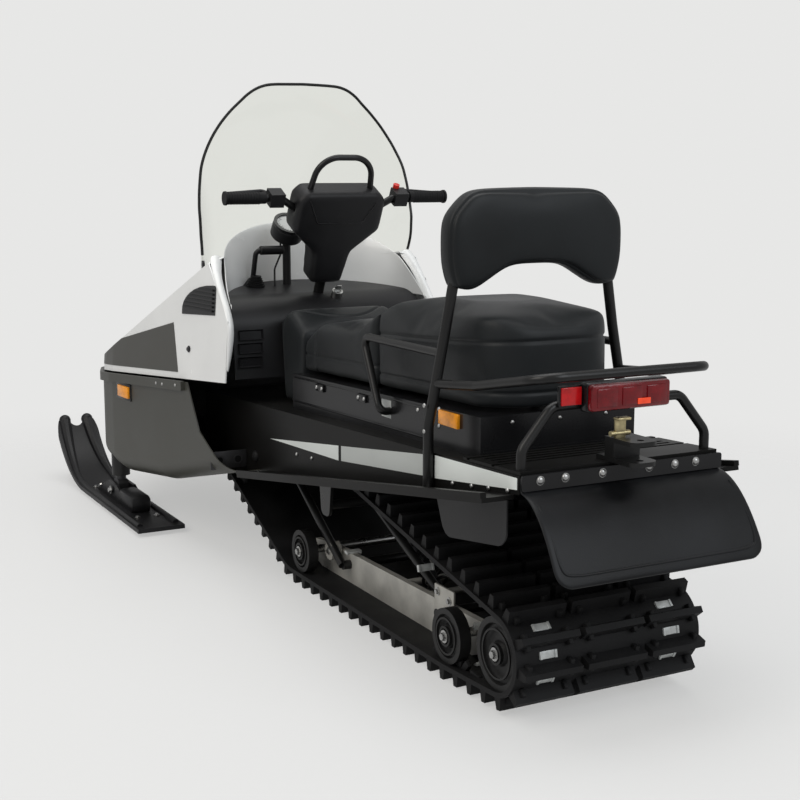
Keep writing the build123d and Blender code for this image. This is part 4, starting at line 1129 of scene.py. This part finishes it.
def make_rear_lamps():
    opts = settings("hardware")
    low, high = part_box("tail_lamp")
    middle = (low + high) / 2
    size = high - low
    edge = Vector((high.x, high.y, middle.z))
    side_lens, housing, lens, plate, window = new_meshes(5)
    for side in SIDES:
        add_box(side_lens, mirrored(BOX_MARKER, side), SIDE_LENS, 0.002)
    add_box(housing, (middle.x, low.y + 0.012, middle.z), (size.x + 0.010, 0.026, size.z + 0.008), 0.005)
    add_box(housing, edge + BACKING_SPOT, BACKING_SIZE, opts.edge)
    add_box(lens, (middle.x, high.y - 0.004, middle.z), (size.x + 0.004, 0.020, size.z + 0.002), 0.007)
    for share in LENS_CELLS:
        cell = (middle.x + share * size.x, high.y + 0.006, middle.z)
        add_box(lens, cell, (0.052, 0.006, size.z * 0.72), 0.003)
    add_box(plate, edge + REFLECTOR_SPOT, REFLECTOR_SIZE, 0.0015)
    add_box(window, (middle.x - 0.030, high.y + 0.0095, middle.z - 0.013), WINDOW_SIZE, 0.0008)
    piece("side_markers", side_lens, "chassis", "amber_lens")
    piece("lamp_housing", housing, "chassis", "gloss_plastic")
    piece("lamp_lens", lens, "chassis", "lens_red")
    piece("rear_reflector", plate, "chassis", "reflector_red")
    piece("lamp_window", window, "chassis", "lamp_orange")


# The flap's fall from its strip, as y and z of a curve's three points
FLAP_BEND = ((0.0, 0.0), (0.080, -0.006), (0.155, -0.168))
FLAP_LENGTH = 0.245
FLAP_CORNER = 0.030
FLAP_FLARE = 0.008
FLAP_CLAMP = 0.12
FLAP_T = 0.006
FLAP_BOLT_X = (0.221, 0.158, 0.062, -0.062, -0.133, -0.191)
FLAP_BOLT_DROP = 0.013
# Half of the bead round the flap, as across and along
BEAD_ROUTE = ((0.94, 0.30), (0.94, 0.60), (0.94, 0.88), (0.88, 0.93), (0.50, 0.93), (0.0, 0.93))
BEAD_LIFT = Vector((0, 0.0025, 0.0015))


def flap_point(across, along, start, half):
    """A point of the flap: across from -1 to 1, along from its strip at 0 to its free edge at 1."""
    first, second, third = (Vector(point) for point in FLAP_BEND)
    fall = first * (1 - along) ** 2 + second * 2 * along * (1 - along) + third * along ** 2
    past = max(0.0, FLAP_CORNER - (1 - along) * FLAP_LENGTH)
    width = half + FLAP_FLARE * along - FLAP_CORNER + math.sqrt(max(0.0, FLAP_CORNER ** 2 - past ** 2))
    return Vector((across * width, start.x + fall.x, start.y + fall.y))


def make_flap():
    """The rubber flap: clamped behind its strip, swelling out from under it and hanging down."""
    low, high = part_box("flap_strip")
    start = Vector((low.y - FLAP_T / 2, low.z - 0.004))
    sheet, bead, bolts = new_meshes(3)
    bmesh.ops.create_grid(sheet, x_segments=30, y_segments=30, size=0.5)
    for vert in sheet.verts:
        along = (vert.co.y + 0.5) * (1 + FLAP_CLAMP) - FLAP_CLAMP
        clamped = max(0.0, -along) / FLAP_CLAMP
        vert.co = flap_point(vert.co.x * 2, max(0.0, along), start, high.x)
        vert.co.z += clamped * (high.z - start.y)
    made = piece("flap_sheet", sheet, "chassis", "flap_rubber", angle=80)
    thicken(made, FLAP_T)
    subdivide(made, 1)
    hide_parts("snow_flap")
    for side in SIDES:
        route = [flap_point(side * u, t, start, high.x) + BEAD_LIFT for u, t in BEAD_ROUTE]
        add_tube(bead, route, 0.003)
    piece("flap_bead", bead, "chassis", "flap_rubber")
    for x in FLAP_BOLT_X:
        z = high.z - FLAP_BOLT_DROP
        add_rod(bolts, (x, high.y, z), REAR, 0.010, 0.003)
        add_dome(bolts, (x, high.y + 0.001, z), REAR, 0.009)
    piece("flap_bolts", bolts, "chassis", "plated_steel")


LATCH_X = 0.020


def make_hitch_latch():
    low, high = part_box("tow_hitch")
    latch = bmesh.new()
    add_box(latch, (LATCH_X, low.y + 0.062, high.z + 0.022), (0.026, 0.010, 0.046), 0.002)
    add_box(latch, (LATCH_X, low.y + 0.070, high.z + 0.043), (0.034, 0.020, 0.006), 0.002)
    add_rod(latch, (LATCH_X, low.y + 0.062, high.z + 0.010), (1, 0, 0), 0.006, 0.050)
    piece("hitch_latch", latch, "chassis", "zinc")


# Suspension: hubs, rims, springs and rail plates

AXLE_END = 0.244
AXLE_BOLT = 0.0105
WHEEL_FACE = 0.2415
HUB_R = 0.022
# Wheels on the axle ends: y, z, radius of the rim
WHEEL_SPOTS = ((1.300, 0.137, 0.056), (1.077, 0.109, 0.043), (0.230, 0.104, 0.040))
RAIL_PLATE = (0.163, 0.935, 0.140)
RAIL_PLATE_SIZE = (0.006, 0.095, 0.075)
RAIL_BUSH = (0.176, 0.318, 0.120)
RAIL_PINS = ((0.166, 0.905, 0.160), (0.166, 0.962, 0.150), (0.191, 0.318, 0.120))
SHOCK_ENDS = (Vector((0.060, 0.470, 0.279)), Vector((0.060, 0.722, 0.105)))
SPRING_R = 0.031
SPRING_WIRE = 0.0042
SPRING_TURNS = 9
SPRING_STEPS = SPRING_TURNS * 12


def make_wheel_hardware():
    opts = settings("hardware")
    bolts, rims, plates, pins = new_meshes(4)
    for side in SIDES:
        way = (side, 0, 0)
        for y, z, rim in WHEEL_SPOTS:
            add_bolt(bolts, (side * AXLE_END, y, z), way, AXLE_BOLT)
            add_ring(rims, (side * WHEEL_FACE, y, z), way, rim, 0.005, 0.004)
            add_ring(rims, (side * WHEEL_FACE, y, z), way, HUB_R, 0.006, 0.008)
        add_box(plates, mirrored(RAIL_PLATE, side), RAIL_PLATE_SIZE, opts.edge)
        add_rod(plates, mirrored(RAIL_BUSH, side), (1, 0, 0), 0.026, 0.030)
        for spot in RAIL_PINS:
            add_bolt(pins, mirrored(spot, side), way, opts.bolt)
    piece("hub_bolts", bolts, "chassis", "plated_steel")
    piece("wheel_rims", rims, "chassis", "wheel_plastic")
    piece("rail_plates", plates, "chassis", "satin_alloy")
    piece("rail_pins", pins, "chassis", "plated_steel")


def make_springs():
    springs = bmesh.new()
    for side in SIDES:
        start, end = (mirrored(point, side) for point in SHOCK_ENDS)
        axis = end - start
        turn = turned(axis)
        route = []
        for step in range(SPRING_STEPS + 1):
            angle = step * math.pi / 6
            arm = turn @ Vector((math.cos(angle), math.sin(angle), 0)) * SPRING_R
            route.append(start + axis * step / SPRING_STEPS + arm)
        add_tube(springs, route, SPRING_WIRE)
    piece("shock_springs", springs, "chassis", "painted_tube")


# Cockpit: gauge, trays, key, lever boot, bar cover, grips and stop button

GAUGE_FACE = Vector((0.045, -0.262, 1.043))
GAUGE_WAY = Vector((0, 0.6, 0.8))
BEZEL_R = 0.046
DIAL_R = 0.042
TICK_R = 0.037
TICKS = 20
TRAY_SPOTS = ((0.268, 0.722), (0.272, 0.682), (0.276, 0.640))
TRAY_SIZE = (0.076, 0.030, 0.012)
KEY_SPOT = (-0.045, -0.110, 0.820)
KEY_SIZE = (0.022, 0.004, 0.024)
BOOT_SPOT = (0.165, -0.270, 0.840)
BOOT_RINGS = 5
SHROUD_VOXEL = 0.005
SHROUD_ROUNDS = 16
SHROUD_GROW = 0.002
SHROUD_SEAM = ((0.112, 1.104), (0.074, 1.036), (-0.074, 1.036), (-0.112, 1.104))
SEAM_STEPS = 8
SEAM_R = 0.0022
GRIP_RIBS = 12
RIB_PITCH = 0.0085
STOP_SPOT = (-0.200, 0.006, 1.180)


def make_gauge():
    place, _ = on_skin("gauge_pod", GAUGE_FACE)
    turn = turned(GAUGE_WAY)
    bezel, dial, marks = new_meshes(3)
    add_ring(bezel, place, GAUGE_WAY, BEZEL_R, 0.010, 0.014)
    add_rod(dial, place + GAUGE_WAY * 0.001, GAUGE_WAY, DIAL_R, 0.003, segments=40)
    for tick in range(TICKS + 1):
        angle = math.radians(-135 + 270 * tick / TICKS)
        spoke = turn @ Matrix.Rotation(angle, 4, "Z")
        length = 0.009 if tick % 5 == 0 else 0.005
        spot = place + spoke @ Vector((0, TICK_R - length / 2, 0.0028))
        add_box(marks, spot, (0.0015, length, 0.0006), 0.0, spoke)
    needle = turn @ Matrix.Rotation(math.radians(110), 4, "Z")
    add_box(marks, place + needle @ Vector((0, 0.012, 0.004)), (0.0022, 0.036, 0.001), 0.0, needle)
    add_rod(marks, place + GAUGE_WAY * 0.004, GAUGE_WAY, 0.005, 0.003)
    piece("gauge_bezel", bezel, "chassis", "gloss_plastic")
    piece("gauge_dial", dial, "chassis", "dial_face")
    piece("gauge_marks", marks, "chassis", "moulded_black")


def make_console_fittings():
    opts = settings("hardware")
    trays, key, boot = new_meshes(3)
    for side in SIDES:
        for x, z in TRAY_SPOTS:
            place, normal = on_skin("console", (side * x, 0.05, z))
            add_tray(trays, place + normal * 0.004, TRAY_SIZE, normal, 0.005, 0.009)
    place, normal = on_skin("console", KEY_SPOT)
    add_rod(key, place + normal * 0.008, normal, 0.017, 0.020)
    add_box(key, place + normal * 0.028, KEY_SIZE, opts.edge, turned(normal))
    add_ring(key, place + normal * 0.018, normal, 0.015, 0.004, 0.004)
    place, normal = on_skin("console", BOOT_SPOT)
    for ring in range(BOOT_RINGS):
        centre = place + normal * (0.004 + 0.007 * ring)
        add_ring(boot, centre, normal, 0.024 - 0.003 * ring, 0.010, 0.005)
    piece("console_trays", trays, "chassis", "gloss_plastic")
    piece("ignition_key", key, "chassis", "plated_steel")
    piece("lever_boot", boot, "chassis", "rubber")


def make_shroud():
    """The bar cover: its CAD solid with the edges rounded. Gives a tree of its faces."""
    made = remeshed("shroud_cover", "steering_shroud", SHROUD_VOXEL, False)
    soften(made, SHROUD_ROUNDS, -SHROUD_GROW)
    subdivide(made, 1)
    apply_modifiers(made)
    dress(made, "steering", "moulded_black")
    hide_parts("steering_shroud")
    return mesh_tree(made.data)


def make_bar_fittings():
    tree = make_shroud()
    seam, ribs, button = new_meshes(3)
    spots = []
    for first, second in zip(SHROUD_SEAM, SHROUD_SEAM[1:]):
        for step in range(SEAM_STEPS):
            x = first[0] + (second[0] - first[0]) * step / SEAM_STEPS
            z = first[1] + (second[1] - first[1]) * step / SEAM_STEPS
            hit = tree.ray_cast(Vector((x, 0.4, z)), -REAR)
            if hit[0] is not None:
                spots.append(hit[0])
    add_tube(seam, spots, SEAM_R)
    low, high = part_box("grips")
    y = (low.y + high.y) / 2
    z = (low.z + high.z) / 2
    for side in SIDES:
        for rib in range(GRIP_RIBS):
            x = side * (high.x - 0.010 - rib * RIB_PITCH)
            add_rod(ribs, (x, y, z), (1, 0, 0), 0.0184, 0.0042)
        add_rod(ribs, (side * high.x, y, z), (1, 0, 0), 0.0205, 0.006)
    place, normal = on_skin("control_levers", STOP_SPOT)
    add_rod(button, place + normal * 0.004, normal, 0.010, 0.012)
    piece("shroud_seam", seam, "steering", "gloss_plastic")
    piece("grip_ribs", ribs, "steering", "rubber")
    piece("stop_button", button, "steering", "button_red")


# Skis: side ridges ending in rounded lobes, damper blocks and bolts

SKI_RIDGE_X = 0.062
SKI_RIDGE_R = 0.010
SKI_STEPS = 29
LOBE_X = 0.043
LOBE_R = 0.023
LOBE_RUN = 0.26
DAMPER_SIZE = (0.074, 0.170, 0.060)
SKI_BOLT_X = 0.034
SKI_BOLTS = (-1.177, -1.100, -0.660)
SADDLE_BOLT_R = 0.010
PROBE_Z = 0.5


def make_ski_fittings(name, body, side):
    opts = settings("hardware")
    low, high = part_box(name)
    middle = (low.x + high.x) / 2
    tree = tree_of(name)
    ridges, bolts = new_meshes(2)
    for step in SIDES:
        spots = []
        shares = []
        for index in range(SKI_STEPS + 1):
            y = low.y + 0.010 + (high.y - low.y - 0.050) * index / SKI_STEPS
            lobe = max(0.0, 1.0 - (y - low.y) / LOBE_RUN)
            x = SKI_RIDGE_X + (LOBE_X - SKI_RIDGE_X) * lobe
            hit = tree.ray_cast(Vector((middle + step * x, y, PROBE_Z)), -UP)
            if hit[0] is not None:
                spots.append(hit[0])
                shares.append(1.0 + (LOBE_R / SKI_RIDGE_R - 1.0) * lobe)
        add_tube(ridges, spots, SKI_RIDGE_R, shares=shares)
        tip = Matrix.Translation(spots[0])
        tip_r = SKI_RIDGE_R * shares[0]
        bmesh.ops.create_uvsphere(ridges, u_segments=20, v_segments=12, radius=tip_r, matrix=tip)
        for y in SKI_BOLTS:
            hit = tree.ray_cast(Vector((middle + step * SKI_BOLT_X, y, PROBE_Z)), -UP)
            add_bolt(bolts, hit[0], hit[1], opts.bolt)
    add_box(ridges, (middle, -0.800, 0.056), DAMPER_SIZE, 0.018)
    spindle_low, spindle_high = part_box("spindle_left" if side > 0 else "spindle_right")
    for step, x in ((-1, spindle_low.x), (1, spindle_high.x)):
        add_bolt(bolts, (x, -0.955, 0.064), (step, 0, 0), SADDLE_BOLT_R)
    piece(name + "_ridges", ridges, body, "moulded_black")
    piece(name + "_bolts", bolts, body, "plated_steel")


# Studio

FLOOR_REACH = 4.0
# Lights: place, aim, size, power, tint
SOFT_BOXES = {
    "side_box": ((5.5, 1.5, 5.0), (0, 0, 0.5), 4.0, 135.0, (1.0, 0.95, 0.88)),
    "rear_box": ((-2.0, 6.5, 4.5), (0, 0.6, 0.6), 4.0, 130.0, (0.90, 0.95, 1.0)),
    "top_box": ((0.0, -0.5, 7.0), (0, 0, 0.5), 6.0, 205.0, (1.0, 1.0, 1.0)),
}


def studio_paper(grey):
    """Matt paper that lets part of the backdrop through, and all of it away from the object."""
    made, tree = new_material("studio_paper")
    tree.nodes.remove(tree.nodes["Principled BSDF"])
    place = (add_node(tree, "TexCoord", {}), "Object")
    fibre = add_node(tree, "TexNoise", {"Scale": 40.0, "Vector": place})
    plain = (grey, grey, grey)
    tone = add_ramp(tree, fibre, (0.0, shade(plain, 0.995)), (1.0, shade(plain, 1.005)))
    paper = add_node(tree, "BsdfDiffuse", {"Color": (tone, "Color")})
    reach = add_node(tree, "VectorMath", {0: place}, operation="LENGTH")
    fade = add_node(
        tree,
        "MapRange",
        {"Value": (reach, "Value"), "From Min": 1.7, "From Max": 3.2, "To Min": 0.55},
        interpolation_type="SMOOTHSTEP",
    )
    clear = add_node(tree, "BsdfTransparent", {})
    show_mix(tree, "Material Output", (fade, "Result"), (paper, "BSDF"), (clear, "BSDF"))
    return made


def aimed(place, way):
    """A camera's or a light's place in the scene, looking along a way."""
    return Matrix.Translation(place) @ way.to_track_quat("-Z", "Y").to_matrix().to_4x4()


def make_lights(scene, grey, strength):
    world = bpy.data.worlds.new("studio")
    scene.world = world
    world.use_nodes = True
    tree = world.node_tree
    dome = tree.nodes["Background"]
    feed(tree, dome, {"Color": (1.0, 1.0, 1.0, 1.0), "Strength": strength})
    paper = add_node(tree, "Background", {"Color": (grey, grey, grey * 0.99, 1.0)})
    seen = add_node(tree, "LightPath", {})
    show_mix(tree, "World Output", (seen, "Is Camera Ray"), (dome, "Background"), (paper, "Background"))
    for name, (place, aim, size, power, tint) in SOFT_BOXES.items():
        lamp = bpy.data.lights.new(name, "AREA")
        lamp.energy = power
        lamp.size = size
        lamp.color = tint
        holder = bpy.data.objects.new(name, lamp)
        holder.matrix_world = aimed(place, Vector(aim) - Vector(place))
        scene.collection.objects.link(holder)


def make_stage():
    opts = settings("stage")
    scene = bpy.context.scene
    bm = bmesh.new()
    bmesh.ops.create_grid(bm, x_segments=1, y_segments=1, size=FLOOR_REACH)
    floor = new_object("studio_floor", bm)
    floor.data.materials.append(studio_paper(opts.backdrop))
    make_lights(scene, opts.backdrop, opts.dome)
    camera = bpy.data.cameras.new("photo_camera")
    camera.lens = opts.lens
    camera.sensor_width = 36.0
    holder = bpy.data.objects.new("photo_camera", camera)
    level = math.cos(opts.pitch)
    look = Vector((math.sin(opts.heading) * level, math.cos(opts.heading) * level, math.sin(opts.pitch)))
    holder.matrix_world = aimed(opts.eye, look)
    scene.collection.objects.link(holder)
    scene.camera = holder
    scene.view_settings.view_transform = "Standard"


# Operators


class SNOW_OT_finishes(bpy.types.Operator):
    """Gives the CAD nodes their finishes"""

    bl_idname = "snowmobile.finishes"
    bl_label = "Finishes"

    def execute(self, context):
        paint_nodes()
        return {"FINISHED"}


class SNOW_OT_seats(bpy.types.Operator):
    """Makes the tank pad and the two seat pads"""

    bl_idname = "snowmobile.seats"
    bl_label = "Seats"

    def execute(self, context):
        make_tank_pad()
        make_seats()
        return {"FINISHED"}


class SNOW_OT_backrest(bpy.types.Operator):
    """Makes the backrest pad"""

    bl_idname = "snowmobile.backrest"
    bl_label = "Backrest"

    def execute(self, context):
        make_backrest()
        return {"FINISHED"}


class SNOW_OT_seat_fittings(bpy.types.Operator):
    """Adds latches, mouldings and bolts to the seat base"""

    bl_idname = "snowmobile.seat_fittings"
    bl_label = "Seat fittings"

    def execute(self, context):
        make_seat_fittings()
        return {"FINISHED"}


class SNOW_OT_track_hardware(bpy.types.Operator):
    """Adds clips, gussets and guide horns to the track"""

    bl_idname = "snowmobile.track_hardware"
    bl_label = "Track hardware"

    def execute(self, context):
        make_track_hardware()
        return {"FINISHED"}


class SNOW_OT_hood_trim(bpy.types.Operator):
    """Adds films, vents, the cowl, windshield trim and lamps to the hood"""

    bl_idname = "snowmobile.hood_trim"
    bl_label = "Hood trim"

    def execute(self, context):
        make_hood_films()
        make_cowl()
        make_windshield_trim()
        make_lamp_trim()
        return {"FINISHED"}


class SNOW_OT_pan_fittings(bpy.types.Operator):
    """Adds markers, rivets and brackets to the belly pan"""

    bl_idname = "snowmobile.pan_fittings"
    bl_label = "Pan fittings"

    def execute(self, context):
        make_pan_fittings()
        return {"FINISHED"}


class SNOW_OT_stripes(bpy.types.Operator):
    """Adds stripes and bolts to the tunnel"""

    bl_idname = "snowmobile.stripes"
    bl_label = "Stripes"

    def execute(self, context):
        make_stripes()
        return {"FINISHED"}


class SNOW_OT_rear_fittings(bpy.types.Operator):
    """Adds lamps, the rubber flap with its bolts, and the hitch latch"""

    bl_idname = "snowmobile.rear_fittings"
    bl_label = "Rear fittings"

    def execute(self, context):
        make_rear_lamps()
        make_flap()
        make_hitch_latch()
        return {"FINISHED"}


class SNOW_OT_suspension(bpy.types.Operator):
    """Adds hub bolts, rims, plates and springs to the suspension"""

    bl_idname = "snowmobile.suspension"
    bl_label = "Suspension"

    def execute(self, context):
        make_wheel_hardware()
        make_springs()
        return {"FINISHED"}


class SNOW_OT_cockpit(bpy.types.Operator):
    """Adds the gauge, trays, key, lever boot, bar cover, grip ribs and stop button"""

    bl_idname = "snowmobile.cockpit"
    bl_label = "Cockpit"

    def execute(self, context):
        make_gauge()
        make_console_fittings()
        make_bar_fittings()
        return {"FINISHED"}


class SNOW_OT_skis(bpy.types.Operator):
    """Adds ridges, dampers and bolts to the skis"""

    bl_idname = "snowmobile.skis"
    bl_label = "Skis"

    def execute(self, context):
        make_ski_fittings("ski_left", "left_ski", 1)
        make_ski_fittings("ski_right", "right_ski", -1)
        return {"FINISHED"}


class SNOW_OT_stage(bpy.types.Operator):
    """Makes the floor, lights and camera"""

    bl_idname = "snowmobile.stage"
    bl_label = "Stage"

    def execute(self, context):
        make_stage()
        return {"FINISHED"}


OPERATORS = (
    SNOW_OT_finishes,
    SNOW_OT_seats,
    SNOW_OT_backrest,
    SNOW_OT_seat_fittings,
    SNOW_OT_track_hardware,
    SNOW_OT_hood_trim,
    SNOW_OT_pan_fittings,
    SNOW_OT_stripes,
    SNOW_OT_rear_fittings,
    SNOW_OT_suspension,
    SNOW_OT_cockpit,
    SNOW_OT_skis,
    SNOW_OT_stage,
)


class SNOW_PT_panel(bpy.types.Panel):
    """Buttons and settings in the sidebar"""

    bl_idname = "SNOW_PT_panel"
    bl_label = "Snowmobile"
    bl_space_type = "VIEW_3D"
    bl_region_type = "UI"
    bl_category = "Snowmobile"

    def draw(self, context):
        for operator in OPERATORS:
            self.layout.operator(operator.bl_idname)
        for name, group in GROUPS.items():
            self.layout.label(text=name.capitalize())
            for key in group.__annotations__:
                self.layout.prop(getattr(context.scene, "snowmobile_" + name), key)


GROUPS = {
    "paint": PaintSettings,
    "cushion": CushionSettings,
    "hardware": HardwareSettings,
    "stage": StageSettings,
}
CLASSES = (*GROUPS.values(), *OPERATORS, SNOW_PT_panel)


def register():
    for item in CLASSES:
        bpy.utils.register_class(item)
    for name, group in GROUPS.items():
        setattr(bpy.types.Scene, "snowmobile_" + name, PointerProperty(type=group))


def unregister():
    for name in GROUPS:
        delattr(bpy.types.Scene, "snowmobile_" + name)
    for item in reversed(CLASSES):
        bpy.utils.unregister_class(item)


def main():
    register()
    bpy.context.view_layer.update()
    for operator in OPERATORS:
        getattr(bpy.ops.snowmobile, operator.bl_idname.split(".")[1])()


if __name__ == "__main__":
    main()
